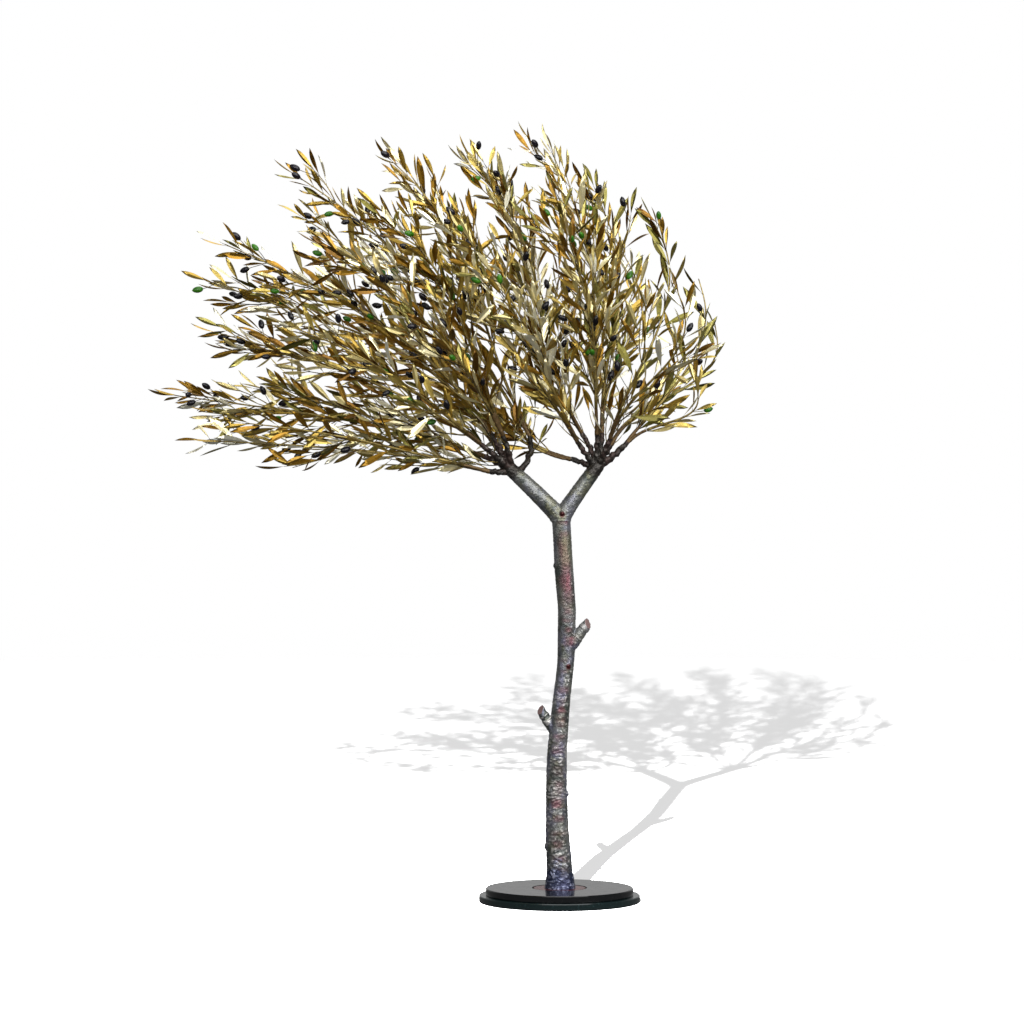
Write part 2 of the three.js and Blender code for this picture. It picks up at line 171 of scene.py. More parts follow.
def catmull_rom(points: Sequence[Vec], samples: int = 24) -> Vec:
    """Draws a centripetal Catmull-Rom line through points.

    Args:
        points: the points that the line passes through.
        samples: how many steps each span takes.

    Returns:
        The sampled line, one point a row.
    """
    ends = [2 * points[0] - points[1], *points, 2 * points[-1] - points[-2]]
    line = [points[0]]
    for p0, p1, p2, p3 in zip(ends, ends[1:], ends[2:], ends[3:]):
        d0, d1, d2 = (math.sqrt(np.linalg.norm(b - a)) for a, b in ((p0, p1), (p1, p2), (p2, p3)))
        t1 = ((p1 - p0) / d0 - (p2 - p0) / (d0 + d1) + (p2 - p1) / d1) * d1
        t2 = ((p2 - p1) / d1 - (p3 - p1) / (d1 + d2) + (p3 - p2) / d2) * d1
        for s in np.linspace(0, 1, samples + 1)[1:]:
            cubic = (2 * p1 - 2 * p2 + t1 + t2) * s**3 + (3 * p2 - 3 * p1 - 2 * t1 - t2) * s**2
            line.append(cubic + t1 * s + p1)
    return np.array(line)


def bezier(controls: Sequence[Vec], samples: int = 48) -> Vec:
    """Draws a Bezier line of any degree by repeated halfway points.

    Args:
        controls: its control points.
        samples: how many steps it takes.

    Returns:
        The sampled line, one point a row.
    """
    share = np.linspace(0, 1, samples + 1)[:, None]
    level = [np.repeat(c[None], samples + 1, axis=0) for c in controls]
    while len(level) > 1:
        level = [a * (1 - share) + b * share for a, b in zip(level, level[1:])]
    return level[0]


# ---- the tree's plan, as in the source of its solids ----

class Side(Enum):
    """The two arms of the fork."""

    LEFT = "left"
    RIGHT = "right"


@dataclass(frozen=True)
class Spray:
    """The tip of one mass of foliage, seen from its arm's end: degrees, then millimetres."""

    rise: float
    reach: float
    depth: float


@dataclass(frozen=True)
class Bough:
    """One bough: an arc that turns evenly from its launch to its heading, and the sprays it carries."""

    launch: float
    heading: float
    length: float
    radius: float
    depth: float
    back: float
    sprays: tuple[Spray, Spray]


FORK_BASE = (3, 735, 17)
ARMS = {
    Side.LEFT: (FORK_BASE, (-11.4, 754.6, 15.3), (-51, 794.4, 14.2), (-96, 836, 13.8)),
    Side.RIGHT: (FORK_BASE, (14, 757, 15), (49.6, 808.5, 14.2), (72.5, 840, 13.5)),
}
BOUGHS = {
    Side.LEFT: (
        Bough(192, 166, 58, 6, -14, 6, (Spray(175, 643, -60), Spray(171, 560, -200))),
        Bough(150, 160, 72, 6.5, 32, 2, (Spray(168, 722, 50), Spray(163, 590, 200))),
        Bough(138, 142, 80, 6.5, -40, 8, (Spray(156, 664, -110), Spray(149, 550, -240))),
        Bough(115, 124, 86, 7, 0, 0, (Spray(149, 742, 20), Spray(143, 749, -70))),
        Bough(122, 128, 80, 6, 42, 10, (Spray(139, 600, 220), Spray(131, 693, 110))),
        Bough(30, 122, 98, 5.2, 6, 14, (Spray(127.5, 753, 20), Spray(113, 680, -30))),
        Bough(98, 114, 80, 5.5, -42, 6, (Spray(132, 590, -210), Spray(119, 600, -130))),
    ),
    Side.RIGHT: (
        Bough(152, 168, 60, 4.8, 16, 5, (Spray(158, 430, 30), Spray(147, 530, 150))),
        Bough(133, 120, 70, 4.8, -30, 2, (Spray(136, 640, -60), Spray(126, 590, -190))),
        Bough(106, 122, 72, 5, 34, 0, (Spray(115, 689, 60), Spray(121, 560, 200))),
        Bough(84, 94, 80, 6, -22, 4, (Spray(103.5, 676, -40), Spray(107, 530, -190))),
        Bough(76, 90, 82, 7, 16, 0, (Spray(95, 592, 40), Spray(87, 480, 190))),
        Bough(28, 50, 78, 7.5, 0, 0, (Spray(67, 458, 30), Spray(50, 285, -30))),
        Bough(58, 74, 70, 5, -38, 3, (Spray(81, 520, -70), Spray(72, 400, -190))),
        Bough(52, 62, 68, 5, 38, 6, (Spray(57, 405, 90), Spray(66, 340, 200))),
    ),
}
BOUGH_TIP_RADIUS = 4.6
ARC_STEPS = 12
WIND = 0.36
GAP = 0.3
STEM_OFFSET = 2.5
STEM_HANDLE = 0.36
SOLID_LEAF = 84
GOLDEN_TURN = 137.5
GROWTH_SEED = 100
FINER_SEED = 1000
BOUGH_SEED = 7
BARK_SEED = 7
STEM_START = 40.0  # how far along a stem its bough's skin reaches, in millimetres


@dataclass(frozen=True)
class Stem:
    """The main stem of one mass: its node's name, its side, its route and the bough that carries it."""

    node: str
    side: Side
    route: Route
    bough: Route


class TreePlan:
    """The routes of the arms, boughs and stems, worked out by the wind rule of the solids."""

    def __init__(self) -> None:
        """Works out every route, in millimetres."""
        self.arms = {side: self._arm(side) for side in Side}
        self.boughs: dict[Side, list[Route]] = {}
        self.stems: list[Stem] = []
        for side in Side:
            routes = [self._bough(bough, self.arms[side]) for bough in BOUGHS[side]]
            self.boughs[side] = routes
            for i, (bough, route) in enumerate(zip(BOUGHS[side], routes)):
                for j, letter in enumerate("ab"):
                    stem = self._stem(bough, j, route.at(1), self.arms[side].point_at(1))
                    self.stems.append(Stem(f"foliage_{side.value}_{i + 1}{letter}", side, stem, route))

    @staticmethod
    def _arm(side: Side) -> Route:
        """Lays one arm, from the trunk's axis to its knuckle.

        Args:
            side: which arm it is.

        Returns:
            The arm's route.
        """
        stations = ARMS[side]
        line = catmull_rom([np.array([x, 0.0, z]) for x, z, _ in stations])
        return Route(line, (stations[0][2], stations[-1][2]))

    @staticmethod
    def _bough(bough: Bough, arm: Route) -> Route:
        """Lays a bough in a chain of short steps from its arm's axis.

        Args:
            bough: the bough.
            arm: the route of the arm that carries it.

        Returns:
            The bough's route.
        """
        points = [arm.point_at(1 - bough.back / arm.length)]
        for i in range(ARC_STEPS):
            heading = lerp(bough.launch, bough.heading, (i + 0.5) / ARC_STEPS)
            step = heading_vector(heading) * bough.length + DEPTH_AXIS * bough.depth
            points.append(points[-1] + step / ARC_STEPS)
        return Route(catmull_rom(points, 4), (bough.radius, BOUGH_TIP_RADIUS))

    @staticmethod
    def _stem(bough: Bough, j: int, bough_tip: Station, arm_end: Vec) -> Route:
        """Lays a bough's stem, down the wind to its spray's tip.

        Args:
            bough: the bough that carries it.
            j: which of the bough's sprays it is.
            bough_tip: the station at the bough's tip.
            arm_end: where the arm ends.

        Returns:
            The stem's route.
        """
        tips = [arm_end + heading_vector(s.rise) * s.reach + DEPTH_AXIS * s.depth for s in bough.sprays]
        aside = square_to(tips[0] - sum(tips) / len(tips), bough_tip.direction) * (1 - 2 * j)
        start = bough_tip.point + aside * STEM_OFFSET + bough_tip.direction * GAP
        end = heading_vector(lerp(bough.sprays[j].rise, 180, WIND))
        tip = tips[j] - end * SOLID_LEAF
        handle = np.linalg.norm(tip - start) * STEM_HANDLE
        line = bezier([start, start + bough_tip.direction * handle, tip - end * handle, tip])
        return Route(line, (3.4, 1.0))


# ---- mesh building ----

@dataclass
class MeshBuilder:
    """Collects closed shapes, in millimetres, and joins them into one mesh in metres."""

    vertices: list[Vec] = field(default_factory=list)
    triangles: list[Vec] = field(default_factory=list)
    slots: list[Vec] = field(default_factory=list)
    kinds: list[Vec] = field(default_factory=list)
    count: int = 0

    def add(self, vertices: Vec, triangles: Vec, slots: Vec | int = 0, kinds: Vec | int = 0) -> None:
        """Adds one shape.

        Args:
            vertices: its points, one a row.
            triangles: its faces, as rows of three vertex numbers.
            slots: each face's material slot, or one for all.
            kinds: each vertex's kind; an edge between two of the same kind above 0 is creased.
        """
        self.vertices.append(vertices)
        self.triangles.append(triangles + self.count)
        self.slots.append(np.broadcast_to(slots, len(triangles)))
        self.kinds.append(np.broadcast_to(kinds, len(vertices)))
        self.count += len(vertices)

    def tube(self, stations: Sequence[Station], sides: int, end_normal: Vec | None = None) -> None:
        """Adds a closed tube through stations, whose last end may be cut on a slant.

        Args:
            stations: the places that it passes through, with its radius there.
            sides: how many sides it has.
            end_normal: the outward direction of a slanted last end.
        """
        side = around(stations[0].direction, 0)
        turns = 2 * math.pi * np.arange(sides) / sides
        rings = []
        for station in stations:
            side = square_to(side, station.direction)
            other = np.cross(station.direction, side)
            ring = np.outer(np.cos(turns), side) + np.outer(np.sin(turns), other)
            rings.append(station.point + ring * station.radius)
        if end_normal is not None:
            last = stations[-1]
            drop = (last.point - rings[-1]) @ end_normal / last.direction.dot(end_normal)
            rings[-1] = rings[-1] + np.outer(drop, last.direction)
        i = np.arange(sides)
        near, far = i, (i + 1) % sides
        halves = ((near, far, far + sides), (near, far + sides, near + sides))
        wall = np.concatenate([np.stack(half, 1) for half in halves])
        walls = [wall + k * sides for k in range(len(stations) - 1)]
        fan = np.array([[0, k + 1, k] for k in range(1, sides - 1)])
        top = (len(stations) - 1) * sides
        self.add(np.concatenate(rings), np.concatenate([*walls, fan, fan[:, ::-1] + top]))

    def mesh(self, name: str) -> bpy.types.Mesh:
        """Makes one smooth-shaded mesh of everything added, sharp where both ends of an edge share a kind.

        Args:
            name: the mesh's name.

        Returns:
            The new mesh, in metres.
        """
        mesh = bpy.data.meshes.new(name)
        mesh.from_pydata(np.concatenate(self.vertices) * MM, [], np.concatenate(self.triangles))
        mesh.polygons.foreach_set("material_index", np.concatenate(self.slots).astype(np.int32))
        mesh.polygons.foreach_set("use_smooth", np.ones(len(mesh.polygons), dtype=bool))
        kinds = np.concatenate(self.kinds)
        ends = np.empty(2 * len(mesh.edges), dtype=np.int32)
        mesh.edges.foreach_get("vertices", ends)
        ends = kinds[ends.reshape(-1, 2)]
        mesh.edges.foreach_set("use_edge_sharp", (ends[:, 0] == ends[:, 1]) & (ends[:, 0] > 0))
        mesh.update()
        return mesh

    def build(self, name: str, materials: Sequence[bpy.types.Material]) -> bpy.types.Object:
        """Returns everything added as one piece with material slots, linked into the scene."""
        return place(self.mesh(name), name, materials)


def place(mesh: bpy.types.Mesh, name: str, materials: Sequence[bpy.types.Material]) -> bpy.types.Object:
    """Links a mesh into the scene as a piece that rides with the tree.

    Args:
        mesh: its mesh, in metres.
        name: its name.
        materials: its material slots.

    Returns:
        The new object.
    """
    for material in materials:
        mesh.materials.append(material)
    piece = bpy.data.objects.new(name, mesh)
    bpy.context.scene.collection.objects.link(piece)
    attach(piece, "root")
    LOG.info("%s: %d faces", name, len(mesh.polygons))
    return piece


# ---- shader nodes ----

class Net:
    """Adds nodes to a tree of shader nodes. A socket given as a value is linked, anything else is set."""

    def __init__(self, tree: bpy.types.NodeTree) -> None:
        """Starts on an emptied tree."""
        self.tree = tree
        tree.nodes.clear()

    def add(self, kind: str, values: dict[str | int, object] | None = None,
            **settings: object) -> bpy.types.Node:
        """Adds a node.

        Args:
            kind: the node's type, without its ShaderNode prefix.
            values: input name or number to a value or an output socket.
            settings: the node's own properties.

        Returns:
            The new node.
        """
        node = self.tree.nodes.new(kind if kind.startswith("Node") else "ShaderNode" + kind)
        for key, value in settings.items():
            setattr(node, key, value)
        return self._fill(node, values)

    def _fill(self, node: bpy.types.Node, values: dict[str | int, object] | None) -> bpy.types.Node:
        """Links or sets a node's inputs.

        Args:
            node: the node.
            values: input name or number to a value or an output socket.

        Returns:
            The same node.
        """
        for key, value in (values or {}).items():
            if isinstance(value, Socket):
                self.tree.links.new(value, node.inputs[key])
            else:
                node.inputs[key].default_value = value
        return node

    def mix(self, factor: Value, a: Tint, b: Tint) -> Socket:
        """Mixes two colours; a plain one is given as three numbers.

        Args:
            factor: the share of the second colour.
            a: the first colour.
            b: the second colour.

        Returns:
            The socket of the mixed colour.
        """
        ends = [value if isinstance(value, Socket) else (*value, 1.0) for value in (a, b)]
        return self.add("Mix", {0: factor, 6: ends[0], 7: ends[1]}, data_type="RGBA").outputs[2]

    def math(self, operation: str, a: Value, b: Value) -> Socket:
        """Returns the result of a math node on two values."""
        return self.add("Math", {0: a, 1: b}, operation=operation).outputs[0]

    def times(self, a: Value, b: Value) -> Socket:
        """Returns the product of two values."""
        return self.math("MULTIPLY", a, b)

    def mask(self, name: str) -> Socket:
        """Returns the value of a mask that the mesh carries."""
        return self.add("Attribute", attribute_name=name).outputs["Fac"]

    def grainy(self, grain: bpy.types.Node, ends: tuple[float, float]) -> Socket:
        """Returns a value that follows the grain from one end to the other."""
        return self.band(grain.outputs["Value"], 0.3, 0.7, ends)

    def band(self, value: Value, low: float, high: float, to: tuple[float, float] = (0.0, 1.0)) -> Socket:
        """Returns value mapped smoothly from low and high to the two ends of to."""
        sizes = {0: value, 1: low, 2: high, 3: to[0], 4: to[1]}
        return self.add("MapRange", sizes, interpolation_type="SMOOTHSTEP").outputs[0]

    def use(self, group: bpy.types.NodeTree, values: dict[str, Value]) -> bpy.types.Node:
        """Adds a node group with values for its inputs."""
        return self._fill(self.add("Group", node_tree=group), values)


class Effects:
    """The shader node groups that several finishes share."""

    def __init__(self) -> None:
        """Builds each group once."""
        self.patches = self._patches()
        self.grain = self._grain()
        self.raised = self._raised()

    @staticmethod
    def _group(name: str, inputs: dict[str, float],
               outputs: Sequence[str]) -> tuple[bpy.types.NodeTree, Net, Sockets]:
        """Starts a group.

        Args:
            name: the group's name.
            inputs: each input's name and usual value.
            outputs: the outputs' names.

        Returns:
            The group, its net, and the sockets of its inputs.
        """
        group = bpy.data.node_groups.new(name, "ShaderNodeTree")
        for key, value in inputs.items():
            socket = group.interface.new_socket(key, in_out="INPUT", socket_type="NodeSocketFloat")
            socket.default_value = value
        for key in outputs:
            group.interface.new_socket(key, in_out="OUTPUT", socket_type="NodeSocketFloat")
        net = Net(group)
        return group, net, net.add("NodeGroupInput").outputs

    def _patches(self) -> bpy.types.NodeTree:
        """Makes a group whose Mask picks out soft, ragged patches over the surface.

        Returns:
            The node group.
        """
        usual = {"Scale": 20.0, "Cover": 0.4, "Softness": 0.08, "Shift": 0.0, "Height": 1.0}
        group, net, given = self._group("patina_patches", usual, ["Mask"])
        where = net.add("TexCoord").outputs["Object"]
        flat = net.add("CombineXYZ", {0: 1.0, 1: 1.0, 2: net.math("DIVIDE", 1.0, given["Height"])})
        pressed = net.add("VectorMath", {0: where, 1: flat.outputs[0]}, operation="MULTIPLY").outputs[0]
        moved = net.add("VectorMath", {0: pressed, 1: given["Shift"]}, operation="ADD").outputs[0]
        look = {"Vector": moved, "Scale": given["Scale"], "Detail": 5.0, "Roughness": 0.6}
        cloud = net.add("TexNoise", look)
        level = net.math("SUBTRACT", 1.0, given["Cover"])
        low = net.math("SUBTRACT", level, given["Softness"])
        high = net.math("ADD", level, given["Softness"])
        mask = net.add("MapRange", {0: cloud.outputs[0], 1: low, 2: high}, interpolation_type="SMOOTHSTEP")
        net.add("NodeGroupOutput", {"Mask": mask.outputs[0]})
        return group

    def _grain(self) -> bpy.types.NodeTree:
        """Makes a group with fine grain as a Value round one half, and as a Height.

        Returns:
            The node group.
        """
        group, net, given = self._group("metal_grain", {"Scale": 300.0, "Pits": 0.3}, ["Value", "Height"])
        where = net.add("TexCoord").outputs["Object"]
        look = {"Vector": where, "Scale": given["Scale"], "Detail": 6.0, "Roughness": 0.65}
        fine = net.add("TexNoise", look)
        cells = net.add("TexVoronoi", {"Vector": where, "Scale": given["Scale"]}, feature="SMOOTH_F1")
        pitted = net.times(cells.outputs["Distance"], given["Pits"])
        height = net.math("ADD", fine.outputs[0], pitted)
        net.add("NodeGroupOutput", {"Value": fine.outputs[0], "Height": height})
        return group

    def _raised(self) -> bpy.types.NodeTree:
        """Makes a group whose Mask picks out what stands proud of the bark, for rubbed wear and painted
        highlights.

        Returns:
            The node group.
        """
        group, net, given = self._group("raised_wear_and_highlight", {"Low": 0.1, "High": 0.8}, ["Mask"])
        ends = {0: net.mask("relief"), 1: given["Low"], 2: given["High"]}
        mask = net.add("MapRange", ends, interpolation_type="SMOOTHSTEP")
        net.add("NodeGroupOutput", {"Mask": mask.outputs[0]})
        return group


def new_material(name: str) -> tuple[bpy.types.Material, Net]:
    """Makes an empty material.

    Args:
        name: the material's name.

    Returns:
        The material, and the net to fill it with.
    """
    material = bpy.data.materials.new(name)
    material.use_nodes = True
    return material, Net(material.node_tree)


def principled(net: Net, values: dict[str, object], height: Socket, bump: float, reach: float) -> None:
    """Ends a material with a Principled surface.

    Args:
        net: the material's net.
        values: the surface's inputs.
        height: the socket of the bump's height.
        bump: the bump's strength.
        reach: the bump's depth, in metres.
    """
    surface = net.add("BsdfPrincipled", values)
    normal = net.add("Bump", {"Height": height, "Strength": bump, "Distance": reach})
    net.tree.links.new(normal.outputs[0], surface.inputs["Normal"])
    net.add("OutputMaterial", {"Surface": surface.outputs[0]})


@dataclass(frozen=True)
class BarkFinish:
    """Cast bronze bark with a mottled patina, painted silvery where it stands proud, partly as rubbed wear
    and partly as a painted highlight.
    """

    base: Colour = (0.052, 0.060, 0.054)
    grey: Colour = (0.148, 0.152, 0.148)
    # the silvery colour of what stands proud: partly rubbed wear, partly painted highlight
    wear_and_highlight: Colour = (0.74, 0.71, 0.68)
    rose: Colour = (0.118, 0.056, 0.062)
    blush: Colour = (0.165, 0.036, 0.054)
    violet: Colour = (0.150, 0.150, 0.215)
    moss: Colour = (0.150, 0.145, 0.075)
    navy: Colour = (0.010, 0.016, 0.050)
    lilac: Colour = (0.30, 0.34, 0.52)
    bud: Colour = (0.055, 0.010, 0.010)
    cut: Colour = (0.30, 0.19, 0.18)
    soot: Colour = (0.024, 0.021, 0.018)
    metallic: float = 0.6
    roughness: float = 0.32

    def build(self, effects: Effects) -> bpy.types.Material:
        """Makes the material.

        Args:
            effects: the shared node groups.

        Returns:
            The material.
        """
        material, net = new_material("bark_bronze")
        where = net.add("SeparateXYZ", {0: net.add("TexCoord").outputs["Object"]}).outputs
        colour, rose = self._patina(net, effects, where["Z"])
        colour = self._moss(net, effects, where, colour)
        edge = net.math("ADD", where["Z"], net.times(self._patch(net, effects, 40, 0.5, 6.1), 0.02))
        foot = net.band(edge, 0.058, 0.112, (1.0, 0.0))
        colour = net.mix(net.times(foot, 0.93), colour, self.navy)
        colour = self._wear_and_highlights(net, effects, where["Z"], colour, (foot, rose))
        for name, tint in (("bud", self.bud), ("cut", self.cut), ("soot", self.soot)):
            colour = net.mix(net.mask(name), colour, tint)
        grain = net.use(effects.grain, {"Scale": 420.0, "Pits": 0.5})
        rough = net.grainy(grain, (self.roughness - 0.08, self.roughness + 0.16))
        principled(net, {"Base Color": colour, "Metallic": self.metallic, "Roughness": rough},
                   grain.outputs["Height"], 0.6, 0.0007)
        return material

    def _patina(self, net: Net, effects: Effects, height: Socket) -> tuple[Socket, Socket]:
        """Mottles the bark grey and violet, with a rosy streak up its front.

        Args:
            net: the material's net.
            effects: the shared node groups.
            height: the socket of the height, in metres.

        Returns:
            The socket of the colour, and the socket of the streak's mask.
        """
        colour = net.mix(self._patch(net, effects, 34, 0.5, 0.4, 1.6), self.base, self.grey)
        cool = net.band(height, 0.5, 0.6, (0.85, 0.45))
        violet = net.times(self._patch(net, effects, 26, 0.45, 0.0, 2.2), cool)
        colour = net.mix(violet, colour, self.violet)
        rose = net.times(net.mask("streak"), self._patch(net, effects, 45, 0.72, 3.1, 1.5))
        colour = net.mix(net.times(rose, 0.8), colour, self.rose)
        blush = net.times(rose, self._patch(net, effects, 38, 0.42, 9.3, 2.5))
        return net.mix(net.times(blush, 0.6), colour, self.blush), rose

    def _moss(self, net: Net, effects: Effects, where: Sockets, colour: Socket) -> Socket:
        """Lays moss green over the bark, most of all on the fork and on the right below it.

        Args:
            net: the material's net.
            effects: the shared node groups.
            where: the sockets of the three coordinates, in metres.
            colour: the colour beneath.

        Returns:
            The socket of the new colour.
        """
        height = where["Z"]
        fork = net.band(net.band(height, 0.7335, 0.7365), 0, 1, (0.22, 0.48))
        colour = net.mix(net.times(self._patch(net, effects, 46, 0.45, 7.7), fork), colour, self.moss)
        collar = net.times(net.band(height, 0.635, 0.665), net.band(height, 0.70, 0.725, (1.0, 0.0)))
        collar = net.times(collar, net.band(where["X"], 0.001, 0.009, (0.1, 0.42)))
        return net.mix(net.times(collar, self._patch(net, effects, 60, 0.7, 5.7)), colour, self.moss)

    def _wear_and_highlights(self, net: Net, effects: Effects, height: Socket, colour: Socket,
              masks: tuple[Socket, Socket]) -> Socket:
        """Paints what stands proud silvery, as rubbed wear and as a painted highlight, and flecks the foot
        with lilac.

        Args:
            net: the material's net.
            effects: the shared node groups.
            height: the socket of the height, in metres.
            colour: the colour beneath.
            masks: the masks of the dark foot and of the rosy streak.

        Returns:
            The socket of the new colour.
        """
        foot, rose = masks
        raised = net.use(effects.raised, {"Low": 0.15, "High": 0.95}).outputs[0]
        flecks = net.times(net.times(raised, foot), self._patch(net, effects, 300, 0.52, 2.2, 0.6))
        colour = net.mix(flecks, colour, self.lilac)
        # painted highlight with rubbed wear: raised bark turns silvery, fully below 0.42 m and half as much
        # above 0.56 m, faintly on the foot and less on the rosy streak
        shine = net.times(net.band(foot, 0, 1, (0.44, 0.12)), net.band(height, 0.42, 0.56, (1.0, 0.5)))
        wear_and_highlight = net.times(net.times(raised, shine), net.band(rose, 0, 1, (1.0, 0.35)))
        return net.mix(wear_and_highlight, colour, self.wear_and_highlight)

    @staticmethod
    def _patch(net: Net, effects: Effects, scale: float, cover: float, shift: float,
               height: float = 1.0) -> Socket:
        """Returns the mask of one kind of patch.

        Args:
            net: the material's net.
            effects: the shared node groups.
            scale: how many patches there are to a metre.
            cover: the share of the surface that they cover.
            shift: what tells this kind of patch from the others.
            height: how many times taller than wide they are.

        Returns:
            The socket of the mask.
        """
        given = {"Scale": scale, "Cover": cover, "Shift": shift, "Height": height}
        return net.use(effects.patches, given).outputs[0]


@dataclass(frozen=True)
class BoughFinish:
    """Dark brown bronze of the boughs, painted a little lighter along what stands proud, as rubbed wear and
    as a painted highlight.
    """

    base: Colour = (0.018, 0.015, 0.012)
    plum: Colour = (0.046, 0.028, 0.024)
    # the lighter colour of what stands proud: partly rubbed wear, partly painted highlight
    wear_and_highlight: Colour = (0.27, 0.25, 0.23)
    gold: Colour = (0.105, 0.064, 0.024)

    def build(self, effects: Effects) -> bpy.types.Material:
        """Makes the material.

        Args:
            effects: the shared node groups.

        Returns:
            The material.
        """
        material, net = new_material("bough_bronze")
        patch = net.use(effects.patches, {"Scale": 45.0, "Cover": 0.5, "Shift": 2.0}).outputs[0]
        warm = net.use(effects.patches, {"Scale": 22.0, "Cover": 0.5, "Shift": 5.0}).outputs[0]
        raised = net.use(effects.raised, {"Low": 0.1, "High": 0.9}).outputs[0]
        # painted highlight with rubbed wear: raised bark in some patches turns lighter
        colour = net.mix(net.times(raised, patch), net.mix(warm, self.base, self.plum), self.wear_and_highlight)
        colour = net.mix(net.mask("gold"), colour, self.gold)
        grain = net.use(effects.grain, {"Scale": 500.0, "Pits": 0.4})
        rough = net.grainy(grain, (0.38, 0.62))
        principled(net, {"Base Color": colour, "Metallic": 0.6, "Roughness": rough},
                   grain.outputs["Height"], 0.4, 0.0005)
        return material


@dataclass(frozen=True)
class LeafFinish:
    """One plain brass of the leaves, with a paler underside, and the share of the sprays that has it."""

    name: str
    upper: Colour
    lower: Colour
    share: float
    metallic: float = 0.95
    roughness: float = 0.33
    coat: float = 0.25
    coat_roughness: float = 0.3

    def build(self, effects: Effects) -> list[bpy.types.Material]:
        """Makes the materials of a leaf.

        Args:
            effects: the shared node groups.

        Returns:
            The materials of the upper side and of the underside.
        """
        made = []
        for side, colour in (("upper", self.upper), ("lower", self.lower)):
            material, net = new_material(f"leaf_{self.name}_{side}")
            grain = net.use(effects.grain, {"Scale": 160.0, "Pits": 0.2})
            shade = net.grainy(grain, (0.62, 1.0))
            dull = tuple(c * 0.45 for c in colour)
            rough = net.grainy(grain, (self.roughness + 0.14, self.roughness))
            principled(net, {"Base Color": net.mix(shade, dull, colour), "Metallic": self.metallic,
                             "Roughness": rough, "Coat Weight": self.coat,
                             "Coat Roughness": self.coat_roughness}, grain.outputs["Height"], 0.06, 0.0004)
            made.append(material)
        return made


LEAF_FINISHES = (
    LeafFinish("bronze", (0.270, 0.143, 0.010), (0.41, 0.27, 0.044), 0.28),
    LeafFinish("gold", (0.48, 0.36, 0.088), (0.72, 0.61, 0.27), 0.27),
    # painted highlight: a near-white cream brass, dealt to a share of the sprays, stands for leaves that
    # catch the light
    LeafFinish("straw_painted_highlight", (0.92, 0.83, 0.50), (0.98, 0.95, 0.76), 0.18),
    LeafFinish("umber", (0.155, 0.074, 0.005), (0.28, 0.160, 0.020), 0.15),
    LeafFinish("olive", (0.135, 0.118, 0.018), (0.36, 0.32, 0.090), 0.12),
)


@dataclass(frozen=True)
class TwigFinish:
    """Metal wire of the stems and twigs."""

    name: str
    base: Colour
    worn: Colour
    metallic: float = 0.7

    def build(self, effects: Effects) -> bpy.types.Material:
        """Makes the material.

        Args:
            effects: the shared node groups.

        Returns:
            The material.
        """
        material, net = new_material(f"twig_{self.name}")
        patch = net.use(effects.patches, {"Scale": 60.0, "Cover": 0.5, "Shift": 4.0}).outputs[0]
        grain = net.use(effects.grain, {"Scale": 500.0, "Pits": 0.3})
        principled(net, {"Base Color": net.mix(patch, self.base, self.worn), "Metallic": self.metallic,
                         "Roughness": net.grainy(grain, (0.36, 0.56))},
                   grain.outputs["Height"], 0.3, 0.0004)
        return material


@dataclass(frozen=True)
class OliveFinish:
    """Glossy enamel of the olives, a little uneven."""

    name: str
    base: Colour
    tint: Colour
    roughness: float

    def build(self, effects: Effects) -> bpy.types.Material:
        """Makes the material.

        Args:
            effects: the shared node groups.

        Returns:
            The material.
        """
        material, net = new_material(f"olive_{self.name}")
        cloudy = {"Scale": 55.0, "Cover": 0.45, "Softness": 0.2, "Shift": 6.0}
        patch = net.use(effects.patches, cloudy).outputs[0]
        grain = net.use(effects.grain, {"Scale": 260.0, "Pits": 0.2})
        principled(net, {"Base Color": net.mix(patch, self.base, self.tint), "Metallic": 0.0,
                         "Roughness": net.grainy(grain, (self.roughness, self.roughness + 0.1)),
                         "Specular IOR Level": 0.28}, grain.outputs["Height"], 0.12, 0.0003)
        return material


TWIG_FINISHES = (
    TwigFinish("gold", (0.15, 0.105, 0.026), (0.33, 0.25, 0.08)),
    TwigFinish("dark", (0.038, 0.030, 0.014), (0.12, 0.095, 0.035)),
)
OLIVE_FINISHES = (
    OliveFinish("black", (0.003, 0.003, 0.005), (0.008, 0.006, 0.011), 0.12),
    OliveFinish("green", (0.013, 0.078, 0.003), (0.050, 0.185, 0.008), 0.24),
)


@dataclass(frozen=True)
class StandFinish:
    """Polished black stone."""

    name: str
    base: Colour
    fleck: Colour

    def build(self, effects: Effects) -> bpy.types.Material:
        """Makes the material.

        Args:
            effects: the shared node groups.

        Returns:
            The material.
        """
        material, net = new_material(f"stand_{self.name}")
        fleck = net.use(effects.patches, {"Scale": 190.0, "Cover": 0.36, "Softness": 0.05}).outputs[0]
        grain = net.use(effects.grain, {"Scale": 90.0, "Pits": 0.0})
        principled(net, {"Base Color": net.mix(fleck, self.base, self.fleck),
                         "Roughness": net.grainy(grain, (0.10, 0.18))},
                   grain.outputs["Height"], 0.03, 0.0003)
        return material


@dataclass(frozen=True)
class FootFinish:
    """Red-brown lacquered metal of the plate under the trunk."""

    base: Colour = (0.13, 0.013, 0.015)
    worn: Colour = (0.28, 0.050, 0.053)

    def build(self, effects: Effects) -> bpy.types.Material:
        """Makes the material.

        Args:
            effects: the shared node groups.

        Returns:
            The material.
        """
        material, net = new_material("foot_copper")
        patch = net.use(effects.patches, {"Scale": 60.0, "Cover": 0.42, "Shift": 9.0}).outputs[0]
        grain = net.use(effects.grain, {"Scale": 300.0, "Pits": 0.3})
        principled(net, {"Base Color": net.mix(patch, self.base, self.worn), "Metallic": 0.9,
                         "Roughness": net.grainy(grain, (0.2, 0.34))},
                   grain.outputs["Height"], 0.3, 0.0004)
        return material


# ---- the stand ----

